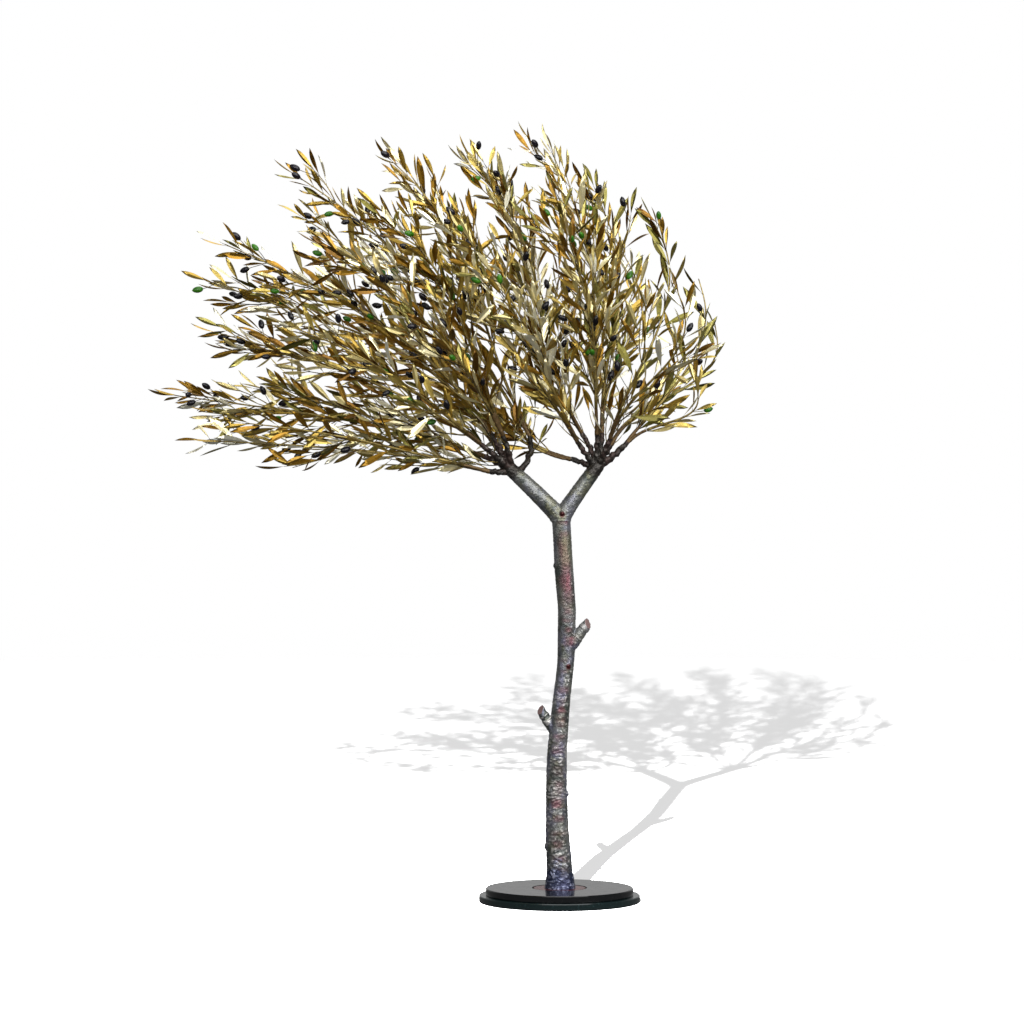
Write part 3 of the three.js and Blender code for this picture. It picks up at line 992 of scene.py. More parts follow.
@dataclass
class Stand:
    """The two discs of the stand and the plate under the trunk, turned smooth round their axis."""

    bevel: float = 1.5
    bevel_steps: int = 1
    sides: int = 160
    recess_radius: float = 53.0
    plate_rise: float = 1.6
    plate_wave: float = 0.028

    def build(self, effects: Effects) -> None:
        """Builds the three discs over their solids.

        Args:
            effects: the shared node groups.
        """
        low, high = (np.array(c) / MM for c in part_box("stand_upper"))
        plate_low, plate_high = (np.array(c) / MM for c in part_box("foot_plate"))
        lower = np.array(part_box("stand_lower")[1]) / MM
        black = StandFinish("black", (0.0035, 0.004, 0.0045), (0.011, 0.012, 0.013)).build(effects)
        teal = StandFinish("teal", (0.005, 0.0115, 0.012), (0.012, 0.026, 0.027)).build(effects)
        foot = self._rim(lower[0], 0.0, lower[2]) + [(0.0, lower[2])]
        self._turn("stand_lower_skin", foot, teal, "stand_lower")
        recess = [(self.recess_radius + 0.6, high[2]), (self.recess_radius, high[2] - 0.6),
                  (self.recess_radius, plate_low[2]), (0.0, plate_low[2])]
        upper = self._rim(high[0], low[2], high[2]) + recess
        self._turn("stand_upper_skin", upper, black, "stand_upper")
        top = plate_high[2] + self.plate_rise
        plate = self._rim(plate_high[0] + 1.0, plate_low[2], top, 0.6) + [(0.0, top)]
        copper = FootFinish().build(effects)
        self._turn("foot_plate_skin", plate, copper, "foot_plate", self.plate_wave)

    def _rim(self, radius: float, bottom: float, top: float, bevel: float | None = None) -> Profile:
        """Draws a disc's profile from its lower centre round its rounded rim.

        Args:
            radius: the disc's radius.
            bottom: the height of its underside.
            top: the height of its top.
            bevel: the radius of its rim's rounding, or None for the stand's own.

        Returns:
            The profile's points, each a radius and a height.
        """
        b = self.bevel if bevel is None else bevel
        turns = [math.pi / 2 * k / self.bevel_steps for k in range(self.bevel_steps + 1)]
        under = [(radius - b + b * math.sin(t), bottom + b - b * math.cos(t)) for t in turns]
        over = [(radius - b + b * math.cos(t), top - b + b * math.sin(t)) for t in turns]
        return [(0.0, bottom), *under, *over]

    def _turn(self, name: str, profile: Profile, material: bpy.types.Material, node: str,
              wave: float = 0.0) -> None:
        """Turns a profile round the stand's axis into a piece that replaces a node.

        Args:
            name: the piece's name.
            profile: its outline as radius and height, from one point of the axis to another.
            material: its finish.
            node: the node that it stands for.
            wave: how far its outline strays inwards, as a share of its radius.
        """
        rings = profile[1:-1]
        turns = 2 * math.pi * np.arange(self.sides) / self.sides
        ripple = np.sin(3 * turns) + 0.7 * np.sin(7 * turns + 1) + 0.5 * np.sin(12 * turns + 2)
        circle = np.stack([np.cos(turns), np.sin(turns)], 1) * (1 + wave * (ripple / 2.2 - 1) / 2)[:, None]
        vertices = [np.column_stack([circle * r, np.full(self.sides, z)]) for r, z in rings]
        vertices += [np.array([[0.0, 0.0, profile[0][1]]]), np.array([[0.0, 0.0, profile[-1][1]]])]
        foot = len(rings) * self.sides
        near, far = np.arange(self.sides), (np.arange(self.sides) + 1) % self.sides
        quads = [np.stack([near, far, far + self.sides, near + self.sides], 1) + k * self.sides
                 for k in range(len(rings) - 1)]
        last = (len(rings) - 1) * self.sides
        caps = [np.stack([far, near, np.full(self.sides, foot)], 1),
                np.stack([near + last, far + last, np.full(self.sides, foot + 1)], 1)]
        mesh = bpy.data.meshes.new(name)
        faces = [list(f) for block in (*quads, *caps) for f in block]
        mesh.from_pydata(np.concatenate(vertices) * MM, [], faces)
        mesh.polygons.foreach_set("use_smooth", np.ones(len(mesh.polygons), dtype=bool))
        mesh.set_sharp_from_angle(angle=math.radians(30))
        piece = place(mesh, name, [material])
        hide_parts(node)


# ---- trunk, fork, arms and boughs ----

@dataclass(frozen=True)
class Stub:
    """A pruned stub: root and tip as x and height, the radii there, and the heading of its slanted cut."""

    root: tuple[float, float]
    tip: tuple[float, float]
    radii: tuple[float, float]
    cut: float


@dataclass(frozen=True)
class Knot:
    """A small knot: its height, its angle round the trunk, its radius, and whether it is a red bud."""

    height: float
    angle: float
    radius: float
    bud: bool = False


@dataclass
class Limbs:
    """The trunk with its fork and arms, and the boughs, each one skin with the relief of its bark."""

    plan: TreePlan
    trunk: tuple[tuple[float, float, float], ...] = (
        (33, 1, 28.5), (61, 0, 25), (138, -4, 22.7), (215, -6, 20), (292, -5, 18.8),
        (389, 4, 17.2), (466, 12.5, 16.2), (563, 14.5, 17.4), (640, 8.7, 17.8), (742, 3, 18),
    )
    foot_radius: float = 31.0
    stubs: tuple[Stub, ...] = (
        Stub((13, 486), (55, 537), (15.6, 9.3), 26), Stub((-7, 325), (-37, 370), (12, 8.7), 147),
    )
    knots: tuple[Knot, ...] = (
        Knot(643, 178, 5), Knot(202, -4, 6), Knot(99, 184, 7),
        Knot(743, -84, 3.6, True), Knot(450, -66, 4, True), Knot(585, -35, 3),
        Knot(560, 120, 5), Knot(395, 60, 5),
    )
    seam: float = 735.0
    trunk_voxel: float = 1.35
    bough_voxel: float = 1.25
    stem_start: float = STEM_START
    kink: float = 2.2
    sunk_root: float = 0.75
    cut_turn: float = 0.5
    thick_root: float = 0.35

    def build(self, effects: Effects) -> None:
        """Builds both skins over their solids.

        Args:
            effects: the shared node groups.
        """
        bark = BarkFinish().build(effects)
        boughs = BoughFinish().build(effects)
        trunk = self._skin("trunk_skin", self._trunk_shapes(), self.trunk_voxel, bark)
        self._relieve_trunk(trunk.data)
        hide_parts("trunk", "arm_left", "arm_right")
        skin = self._skin("bough_skin", self._bough_shapes(), self.bough_voxel, boughs)
        self._relieve_boughs(skin.data)
        nodes = [f"bough_{side.value}_{i + 1}" for side in Side for i in range(len(BOUGHS[side]))]
        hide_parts(*nodes)

    def _foot(self) -> float:
        """Returns the height of the trunk's flat foot."""
        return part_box("trunk")[0][2] / MM

    def _trunk_at(self, height: float) -> Station:
        """Finds the trunk's axis and radius at a height.

        Args:
            height: the height, in millimetres.

        Returns:
            The station there.
        """
        rows = np.array([(self._foot(), 1.0, self.foot_radius), *self.trunk])
        x, radius = (float(np.interp(height, rows[:, 0], rows[:, k])) for k in (1, 2))
        return Station(np.array([x, 0.0, height]), UP, radius)

    def _trunk_shapes(self) -> MeshBuilder:
        """Gathers the plain shapes of the trunk, stubs, knots, fork, arms and the boughs' roots.

        Returns:
            The shapes, not yet melted together.
        """
        shapes = MeshBuilder()
        sunk = self._foot() - 1.5
        shapes.tube([self._trunk_at(h) for h in np.linspace(sunk, self.trunk[-1][0], 60)], 48)
        for stub in self.stubs:
            root, tip = (np.array([x, 0.0, z]) for x, z in (stub.root, stub.tip))
            direction = unit(tip - root)
            stations = []
            for share in np.linspace(0, 1, 12):
                radius = lerp(*stub.radii, share) * min(1.0, self.sunk_root + 1.2 * share)
                stations.append(Station(lerp(root, tip, share), direction, radius))
            shapes.tube(stations, 24, self._cut_normal(stub))
        for knot in self.knots:
            self._add_knot(shapes, knot)
        for side in Side:
            arm = self.plan.arms[side]
            stations = arm.stations(0, 1, 24)
            tip = stations[-1]
            for angle in (20, 40, 60, 80):
                turn = math.radians(angle)
                point = tip.point + tip.direction * tip.radius * math.sin(turn)
                stations.append(Station(point, tip.direction, tip.radius * math.cos(turn)))
            shapes.tube(stations, 36)
            for bough in self.plan.boughs[side]:
                shapes.tube(self._flared(bough, 30.0), 18)
        return shapes

    @staticmethod
    def _flared(bough: Route, length: float) -> list[Station]:
        """Widens a bough's root where it leaves its knuckle.

        Args:
            bough: the bough's route.
            length: how much of it counts as root, in millimetres.

        Returns:
            The root's stations.
        """
        stations = []
        for station in bough.stations(0, length / bough.length, 8):
            out = np.linalg.norm(station.point - bough.points[0])
            swell = 1 + 0.28 * max(0.0, 1 - max(0.0, out - 12) / 14)
            stations.append(Station(station.point, station.direction, station.radius * swell - 0.25))
        return stations

    def _cut_normal(self, stub: Stub) -> Vec:
        """Returns the outward direction of a stub's cut, which is turned a little to the front."""
        return unit(heading_vector(stub.cut) - DEPTH_AXIS * self.cut_turn)

    def _add_knot(self, shapes: MeshBuilder, knot: Knot) -> None:
        """Adds one knot to the trunk's shapes.

        Args:
            shapes: the shapes to add it to.
            knot: the knot.
        """
        station = self._trunk_at(knot.height)
        turn = math.radians(knot.angle)
        out = unit(np.array([math.cos(turn), math.sin(turn), 0.4]))
        profile = ((0.6, 1.5), (0.95, 1.3), (1.1, 0.95), (1.19, 0.5))
        shapes.tube([Station(station.point + out * station.radius * far, out, knot.radius * wide)
                     for far, wide in profile], 14)

    def _bough_shapes(self) -> MeshBuilder:
        """Gathers the plain shapes of the boughs and of the first stretch of each stem.

        Returns:
            The shapes, not yet melted together.
        """
        shapes = MeshBuilder()
        for side in Side:
            for bough in self.plan.boughs[side]:
                stations = self._kinked(bough)
                tip = stations[-1]
                rounded = Station(tip.point + tip.direction * 2.5, tip.direction, tip.radius * 0.7)
                shapes.tube([*stations, rounded], 16)
        for stem in self.plan.stems:
            tip = stem.bough.at(1)
            joint = Station(tip.point - tip.direction * 8, tip.direction, 3.6)
            stations = stem.route.stations(0.02, self.stem_start / stem.route.length, 8)
            widths = np.linspace(3.3, self.stem_radius(stem), len(stations))
            shapes.tube([joint, *(Station(s.point, s.direction, w) for s, w in zip(stations, widths))], 14)
        return shapes

    def _kinked(self, bough: Route) -> list[Station]:
        """Gives a bough the small kinks of an old one, its two ends kept.

        Args:
            bough: the bough's route.

        Returns:
            The bough's stations.
        """
        stations = []
        for i, station in enumerate(bough.stations(0, 1, 16)):
            bend = self.kink * math.sin(math.pi * i / 16) * math.sin(i * 1.9 + bough.length)
            point = station.point + around(station.direction, 0.4 * i) * bend
            swell = 1 + self.thick_root * (1 - i / 16) ** 1.5
            stations.append(Station(point, station.direction, station.radius * swell))
        return stations

    def stem_radius(self, stem: Stem) -> float:
        """Returns a stem's radius where the bough's skin hands over to the twigs."""
        return stem.route.at(self.stem_start / stem.route.length).radius

    @staticmethod
    def _skin(name: str, shapes: MeshBuilder, voxel: float, material: bpy.types.Material) -> bpy.types.Object:
        """Melts overlapping shapes into one even skin.

        Args:
            name: the new piece's name.
            shapes: the plain shapes.
            voxel: the size of the skin's faces, in millimetres.
            material: its finish.

        Returns:
            The new piece.
        """
        rough = bpy.data.objects.new(f"{name}_shapes", shapes.mesh(f"{name}_shapes"))
        bpy.context.scene.collection.objects.link(rough)
        remesh = rough.modifiers.new("skin", "REMESH")
        remesh.mode = "VOXEL"
        remesh.voxel_size = voxel * MM
        graph = bpy.context.evaluated_depsgraph_get()
        mesh = bpy.data.meshes.new_from_object(rough.evaluated_get(graph))
        bpy.data.objects.remove(rough)
        mesh.name = name
        mesh.polygons.foreach_set("use_smooth", np.ones(len(mesh.polygons), dtype=bool))
        return place(mesh, name, [material])

    @staticmethod
    def _points(mesh: bpy.types.Mesh) -> tuple[Vec, Vec]:
        """Reads a mesh's points and normals.

        Args:
            mesh: the mesh.

        Returns:
            The points, in millimetres, and the normals.
        """
        points = np.empty(3 * len(mesh.vertices))
        normals = np.empty(3 * len(mesh.vertices))
        mesh.vertices.foreach_get("co", points)
        mesh.vertices.foreach_get("normal", normals)
        return points.reshape(-1, 3) / MM, normals.reshape(-1, 3)

    @staticmethod
    def _noise(points: Vec, size: Sequence[float], shift: float) -> Vec:
        """Returns smooth noise from about -1 to 1 over points, with a size along each axis."""
        scaled = points / np.array(size) + shift
        return np.array([noise.noise(p) for p in scaled.tolist()])

    @staticmethod
    def _within(points: Vec, centre: Vec, reach: float) -> Vec:
        """Returns which points lie within reach of a centre."""
        return np.linalg.norm(points - centre, axis=1) < reach

    @staticmethod
    def _write(mesh: bpy.types.Mesh, points: Vec, masks: dict[str, Vec]) -> None:
        """Writes moved points and named masks back to a mesh.

        Args:
            mesh: the mesh.
            points: its new points, in millimetres.
            masks: each mask's name and its value at each vertex.
        """
        mesh.vertices.foreach_set("co", (points * MM).ravel())
        for name, values in masks.items():
            mesh.attributes.new(name, "FLOAT", "POINT").data.foreach_set("value", values.astype(np.float32))
        mesh.update()

    def _relieve_trunk(self, mesh: bpy.types.Mesh) -> None:
        """Raises the bark of the trunk and arms: flutes, short level ridges, bumps and the weld seam.

        Args:
            mesh: the skin of the trunk and arms.
        """
        points, normals = self._points(mesh)
        cut, soot, bud = np.zeros(len(points)), np.zeros(len(points)), np.zeros(len(points))
        for knot in self.knots:
            if knot.bud:
                centre = self._trunk_at(knot.height)
                turn = math.radians(knot.angle)
                out = np.array([math.cos(turn), math.sin(turn), 0.2])
                away = np.linalg.norm(points - centre.point - out * centre.radius * 1.1, axis=1)
                bud = np.maximum(bud, np.clip((7.5 - away) / 3, 0, 1))
        for stub in self.stubs:
            tip, normal = np.array([stub.tip[0], 0, stub.tip[1]]), self._cut_normal(stub)
            near = self._within(points, tip, stub.radii[1] * 1.5)
            cut = np.maximum(cut, near * np.clip((normals @ normal - 0.8) / 0.15, 0, 1))
        for side in Side:
            end = self.plan.arms[side].point_at(1)
            along = (points - end) @ self.plan.arms[side].at(1).direction
            ragged = along + 26 + 5 * self._noise(points, (9, 9, 9), 4.0)
            soot = np.maximum(soot, self._within(points, end, 60) * np.clip(ragged / 12, 0, 1))
        flutes = self._noise(points, (26, 26, 90), 3.0)
        bent = points + np.outer(self._noise(points, (22, 22, 22), 5.0), (2.0, 2.0, 3.5))
        bent[:, 2] += 0.15 * points[:, 0]
        calm = np.clip(0.75 + 0.9 * self._noise(points, (28, 28, 34), 17.0), 0.5, 1.2)
        folds = (np.minimum(1.0, 3.2 * np.abs(self._noise(bent, (16, 16, 7.0), 11.0))) - 0.45) * calm
        bumps = self._noise(points, (6.5, 6.5, 5), 7.0)
        fine = self._noise(points, (3.2, 3.2, 2.6), 1.0)
        lower = np.clip((540 - points[:, 2]) / 260, 0, 1)
        strength = np.where(points[:, 2] > self.seam, 1.0, 0.85 + 0.3 * lower) * (1 - 0.85 * cut) + 0.7 * soot
        relief = folds * (0.2 + 0.75 * lower) + bumps * (0.45 + 0.2 * lower)
        relief += fine * calm * (1.1 - 0.5 * lower)
        for stub in self.stubs:
            relief += self._wrinkles(points, stub)
        seam = np.exp(-(((points[:, 2] - self.seam - 0.6 * flutes) / 1.5) ** 2))
        seam *= np.linalg.norm(points[:, :2], axis=1) < 26
        raised = relief * 0.8 * strength + flutes * 0.9 * strength + seam * 0.8
        level = points[:, 2] < self._foot() + 3
        raised = np.where(level, np.minimum(raised, 0.2), raised)
        self._write(mesh, points + normals * raised[:, None],
                    {"relief": relief * strength + seam * 0.5, "cut": cut, "soot": soot, "bud": bud,
                     "streak": self._streak(points)})

    def _wrinkles(self, points: Vec, stub: Stub) -> Vec:
        """Wrinkles the bark in rings round a stub's root.

        Args:
            points: the skin's points.
            stub: the stub.

        Returns:
            How far each point is raised, in millimetres.
        """
        root, tip = (np.array([x, 0.0, z]) for x, z in (stub.root, stub.tip))
        direction = unit(tip - root)
        along = (points - root) @ direction
        reach = np.linalg.norm(points - root - np.outer(along, direction), axis=1)
        window = np.clip((along - 4) / 8, 0, 1) * np.clip((stub.radii[0] + 8 - reach) / 8, 0, 1)
        bent = np.stack([along + 2.5 * self._noise(points, (9, 9, 9), 6.0), reach, 0 * reach], axis=1)
        return 1.5 * window * self._noise(bent, (3.4, 14, 9), 19.0)

    def _streak(self, points: Vec) -> Vec:
        """Paints the rosy streak that wanders up the front of the trunk.

        Args:
            points: the skin's points.

        Returns:
            How far each point lies in the streak, from 0 to 1.
        """
        heights, middles = (np.array([row[k] for row in self.trunk]) for k in (0, 1))
        angle = np.degrees(np.arctan2(points[:, 1], points[:, 0] - np.interp(points[:, 2], heights, middles)))
        rise = points[:, [2, 2, 2]]
        wander = -82 + 30 * self._noise(rise, (70, 70, 70), 8.0)
        width = 34 + 24 * self._noise(rise, (30, 30, 30), 2.0)
        near = np.clip(1.5 - np.abs(angle - wander) / np.maximum(width, 6), 0, 1)
        upper = np.clip((points[:, 2] - 560) / 40, 0, 1) * np.clip((716 - points[:, 2]) / 30, 0, 1)
        broken = np.clip(0.35 + 1.6 * self._noise(rise, (26, 26, 26), 14.0), 0, 0.8)
        return near * np.maximum(upper, broken * (points[:, 2] < self.seam))

    def _relieve_boughs(self, mesh: bpy.types.Mesh) -> None:
        """Raises the bark of the boughs, and marks where they turn golden towards their stems.

        Args:
            mesh: the skin of the boughs.
        """
        points, normals = self._points(mesh)
        lumps = self._noise(points, (11, 11, 11), 2.0)
        bumps = self._noise(points, (6, 6, 6), 5.0)
        fine = self._noise(points, (2.8, 2.8, 2.8), 9.0)
        relief = bumps * 0.8 + fine * 0.4
        gold, dark = np.zeros(len(points)), np.zeros(len(points))
        random = SeededRandom(BARK_SEED)
        for stem in self.plan.stems:
            for station in stem.route.stations(0, self.stem_start / stem.route.length, 16):
                gold = np.maximum(gold, self._within(points, station.point, 6.5))
        for side in Side:
            for bough in self.plan.boughs[side]:
                for station in bough.stations(0, random.jitter(0.8, 0.3), 16):
                    dark = np.maximum(dark, self._within(points, station.point, station.radius + 4))
                for station in bough.stations(0.5, 1, 10):
                    gold = np.maximum(gold, self._within(points, station.point, station.radius + 4))
        gold *= 1 - dark
        raised = relief * 0.5 + lumps * 1.5 * dark
        self._write(mesh, points + normals * raised[:, None], {"relief": relief, "gold": gold})


# ---- the crown ----

# how widely a mass's finer twigs are spaced, next to the usual
SPACING = {
    "foliage_left_1a": 3.0, "foliage_left_1b": 3.2, "foliage_left_2a": 0.6, "foliage_left_2b": 2.2,
    "foliage_left_3a": 0.55, "foliage_left_3b": 0.8, "foliage_left_4a": 0.6, "foliage_left_4b": 1.4,
    "foliage_left_5a": 0.75, "foliage_left_6a": 0.9, "foliage_left_6b": 0.5, "foliage_right_1a": 0.35,
    "foliage_right_1b": 0.35, "foliage_right_2a": 0.5, "foliage_right_2b": 0.5, "foliage_right_3a": 0.42,
    "foliage_right_3b": 0.5, "foliage_right_4a": 0.48, "foliage_right_4b": 0.4,
    "foliage_right_5a": 0.68, "foliage_right_5b": 1.9, "foliage_right_6a": 2.6, "foliage_right_6b": 3.6,
    "foliage_right_7a": 1.6, "foliage_right_7b": 3.4, "foliage_right_8a": 3.3, "foliage_right_8b": 4.4,
}


class CrownSpace:
    """Tells whether a part of a spray stays in the crown, in its own mass and clear of the limbs."""

    LOW: Place = (-812, -268, 820)
    HIGH: Place = (330, 268, 1504)
    SHOULDER: Place = (182, 0, 1354)  # a point of the slanted plane that cuts the crown's upper right
    SHOULDER_OUT: Place = (1.73, 0, 1)  # the way that plane faces
    SPACE: float = 4.0  # least difference between the distances to a neighbour's stem and to its own
    CLEARANCE: float = 3.0  # least distance from a limb's skin

    def __init__(self, plan: TreePlan) -> None:
        """Gathers the lines of the stems and limbs.

        Args:
            plan: the routes of the tree.
        """
        lines = [stem.route.stations(0, 1, 8) for stem in plan.stems]
        self.starts, self.ends, self.owners = self._segments(lines)
        limbs = [arm.stations(0.3, 1, 6) for arm in plan.arms.values()]
        limbs += [bough.stations(0, 1, 5) for side in Side for bough in plan.boughs[side]]
        self.limb_starts, self.limb_ends, owners = self._segments(limbs)
        self.limb_radii = np.array([limb[0].radius for limb in limbs])[owners]

    @staticmethod
    def _segments(lines: list[list[Station]]) -> tuple[Vec, Vec, Vec]:
        """Splits lines into their segments.

        Args:
            lines: the stations of each line.

        Returns:
            The segments' starts, their ends, and the number of each one's line.
        """
        starts = np.array([s.point for line in lines for s in line[:-1]])
        ends = np.array([s.point for line in lines for s in line[1:]])
        owners = np.array([i for i, line in enumerate(lines) for _ in line[:-1]])
        return starts, ends, owners

    @staticmethod
    def _distances(points: Vec, starts: Vec, ends: Vec) -> Vec:
        """Measures how far points are from segments.

        Args:
            points: the points.
            starts: the segments' starts.
            ends: the segments' ends.

        Returns:
            The distances, with a row to a point and a column to a segment.
        """
        span = ends - starts
        offset = points[:, None] - starts[None]
        share = np.clip((offset * span).sum(2) / (span * span).sum(1), 0, 1)
        return np.linalg.norm(offset - share[..., None] * span, axis=2)

    def clear(self, points: Vec) -> bool:
        """Tells whether points are in the crown and clear of every limb.

        Args:
            points: the points.

        Returns:
            True when all of them are.
        """
        if (points < self.LOW).any() or (points > self.HIGH).any():
            return False
        if ((points - self.SHOULDER) @ unit(np.array(self.SHOULDER_OUT)) > 0).any():
            return False
        reach = self._distances(points, self.limb_starts, self.limb_ends)
        return bool((reach > self.limb_radii + self.CLEARANCE).all())

    def own(self, points: Vec, owner: int) -> bool:
        """Tells whether points are clear, and nearer their own stem than any other.

        Args:
            points: the points.
            owner: their own stem's number.

        Returns:
            True when all of them are.
        """
        if not self.clear(points):
            return False
        reach = self._distances(points, self.starts, self.ends)
        mine = reach[:, self.owners == owner].min(1)
        return bool((reach[:, self.owners != owner].min(1) > mine + self.SPACE).all())


def leaving(station: Station, angle: float, turn: float) -> Vec:
    """Returns the direction of what leaves a station at an angle, in degrees, turned round it."""
    lean = math.radians(angle)
    return station.direction * math.cos(lean) + around(station.direction, turn) * math.sin(lean)


def twig_route(station: Station, turn: float, length: float, spread: float,
               radii: tuple[float, float]) -> Route:
    """Lays a side twig, which bends back along its carrier, down the wind.

    Args:
        station: where it leaves its carrier.
        turn: how far it is turned round the carrier, in radians.
        length: its length.
        spread: the angle at which it leaves, in degrees.
        radii: its radii at its root and tip.

    Returns:
        The twig's route.
    """
    out = leaving(station, spread, turn)
    bent = unit(station.direction * 2 + out)
    knee = station.point + out * length / 2
    return Route(bezier([station.point, knee, knee + bent * length / 2], 12), radii)


@dataclass
class LeafShape:
    """A lance-shaped leaf: a folded blade that is closed all round, and curls along its length."""

    rows: int = 7
    thickness: float = 0.7
    fold: float = 0.2
    slimness: float = 0.087
    fullness: float = 1.38

    def __post_init__(self) -> None:
        """Works out the unit blade and its faces."""
        t = np.linspace(0, 1, self.rows + 2)[1:-1]
        t = t + 0.05 * np.sin(2 * math.pi * t)
        self.along = np.concatenate([[0.0], np.repeat(t, 4), [1.0]])
        half = np.sin(math.pi * t**self.fullness) ** 0.85
        across = np.stack([half, 0 * half, -half, 0 * half], 1).ravel()
        self.across = np.concatenate([[0.0], across, [0.0]])
        skin = np.stack([0 * half, half, 0 * half, -half], 1).ravel() / 2
        self.skin = np.concatenate([[0.0], skin, [0.0]])
        self.kinds = np.concatenate([[0], np.tile([1, 2, 3, 4], self.rows), [0]])
        faces, slots = [], []
        for k in range(4):
            n = (k + 1) % 4
            under = int(k in (2, 3))
            faces.append((0, 1 + n, 1 + k))
            last = 1 + 4 * (self.rows - 1)
            faces.append((4 * self.rows + 1, last + k, last + n))
            slots += [under, under]
            for row in range(self.rows - 1):
                a, b = 1 + 4 * row, 5 + 4 * row
                faces += [(a + k, a + n, b + n), (a + k, b + n, b + k)]
                slots += [under, under]
        self.faces, self.slots = np.array(faces), np.array(slots)

    def corners(self, point: Vec, out: Vec, roll: float, length: float, bends: tuple[float, float]) -> Vec:
        """Lays out one leaf.

        Args:
            point: where its blade starts.
            out: its direction there.
            roll: how far its blade is turned about that direction, in radians.
            length: its length.
            bends: how far its tip bends off its upper side and sideways, as shares of its length.

        Returns:
            The leaf's vertices.
        """
        across = around(out, roll)
        up = np.cross(out, across)
        curl, sway = bends
        curve = self.along**2 * length
        wide = self.across * self.slimness * length
        lift = self.skin * self.thickness + np.abs(wide) * self.fold * 2 - curl * curve
        reach = self.along * length * (1 - 0.5 * (curl * curl + sway * sway))
        return point + np.outer(reach, out) + np.outer(wide + sway * curve, across) + np.outer(lift, up)


@dataclass
class OliveShape:
    """An olive: a slightly egg-shaped body, turned round its length, with a small point at its tip."""

    rings: int = 9
    sides: int = 12
    length: float = 20.5
    width: float = 12.4

    def __post_init__(self) -> None:
        """Works out the unit olive and its faces."""
        t = np.linspace(0, math.pi, self.rings + 2)[1:-1]
        turns = 2 * math.pi * np.arange(self.sides) / self.sides
        along = (1 - np.cos(t)) / 2
        wide = np.sin(t) * (1 - 0.1 * along)
        ring = np.stack([np.cos(turns), np.sin(turns)], 1)
        rings = [np.column_stack([ring * w, np.full(self.sides, a)]) for w, a in zip(wide, along)]
        self.points = np.concatenate([[[0, 0, 0]], *rings, [[0, 0, 1.05]]])
        near = np.arange(self.sides)
        far = (near + 1) % self.sides
        faces = [np.stack([0 * near, 1 + far, 1 + near], 1)]
        for k in range(self.rings - 1):
            a, b = 1 + k * self.sides, 1 + (k + 1) * self.sides
            faces += [np.stack([a + near, a + far, b + far], 1), np.stack([a + near, b + far, b + near], 1)]
        last = 1 + (self.rings - 1) * self.sides
        faces.append(np.stack([last + near, last + far, 0 * near + 1 + self.rings * self.sides], 1))
        self.faces = np.concatenate(faces)

    def corners(self, stalk_end: Vec, out: Vec, size: float) -> Vec:
        """Lays out one olive that hangs on its stalk.

        Args:
            stalk_end: where the stalk ends.
            out: the direction in which it hangs.
            size: its size, next to the usual.

        Returns:
            The olive's vertices.
        """
        across = around(out, 0.0)
        basis = np.stack([across * self.width / 2, np.cross(out, across) * self.width / 2, out * self.length])
        return stalk_end + self.points @ (basis * size)


@dataclass(frozen=True)
class TwigRule:
    """How one order of twigs leaves its carrier: millimetres, degrees, and shares of the carrier's length."""

    longest: float
    shortest: float
    every: float
    spread: float
    first: float
    last: float
    radii: tuple[float, float]
    spread_range: float = 0.0
    length_range: float = 0.0


@dataclass(frozen=True)
class Mass:
    """What one mass grows by. Its owner is its place in the plan, or None for the few leaves on a bough."""

    owner: int | None
    side: Side
    random: SeededRandom
    spacing: float = 1.0


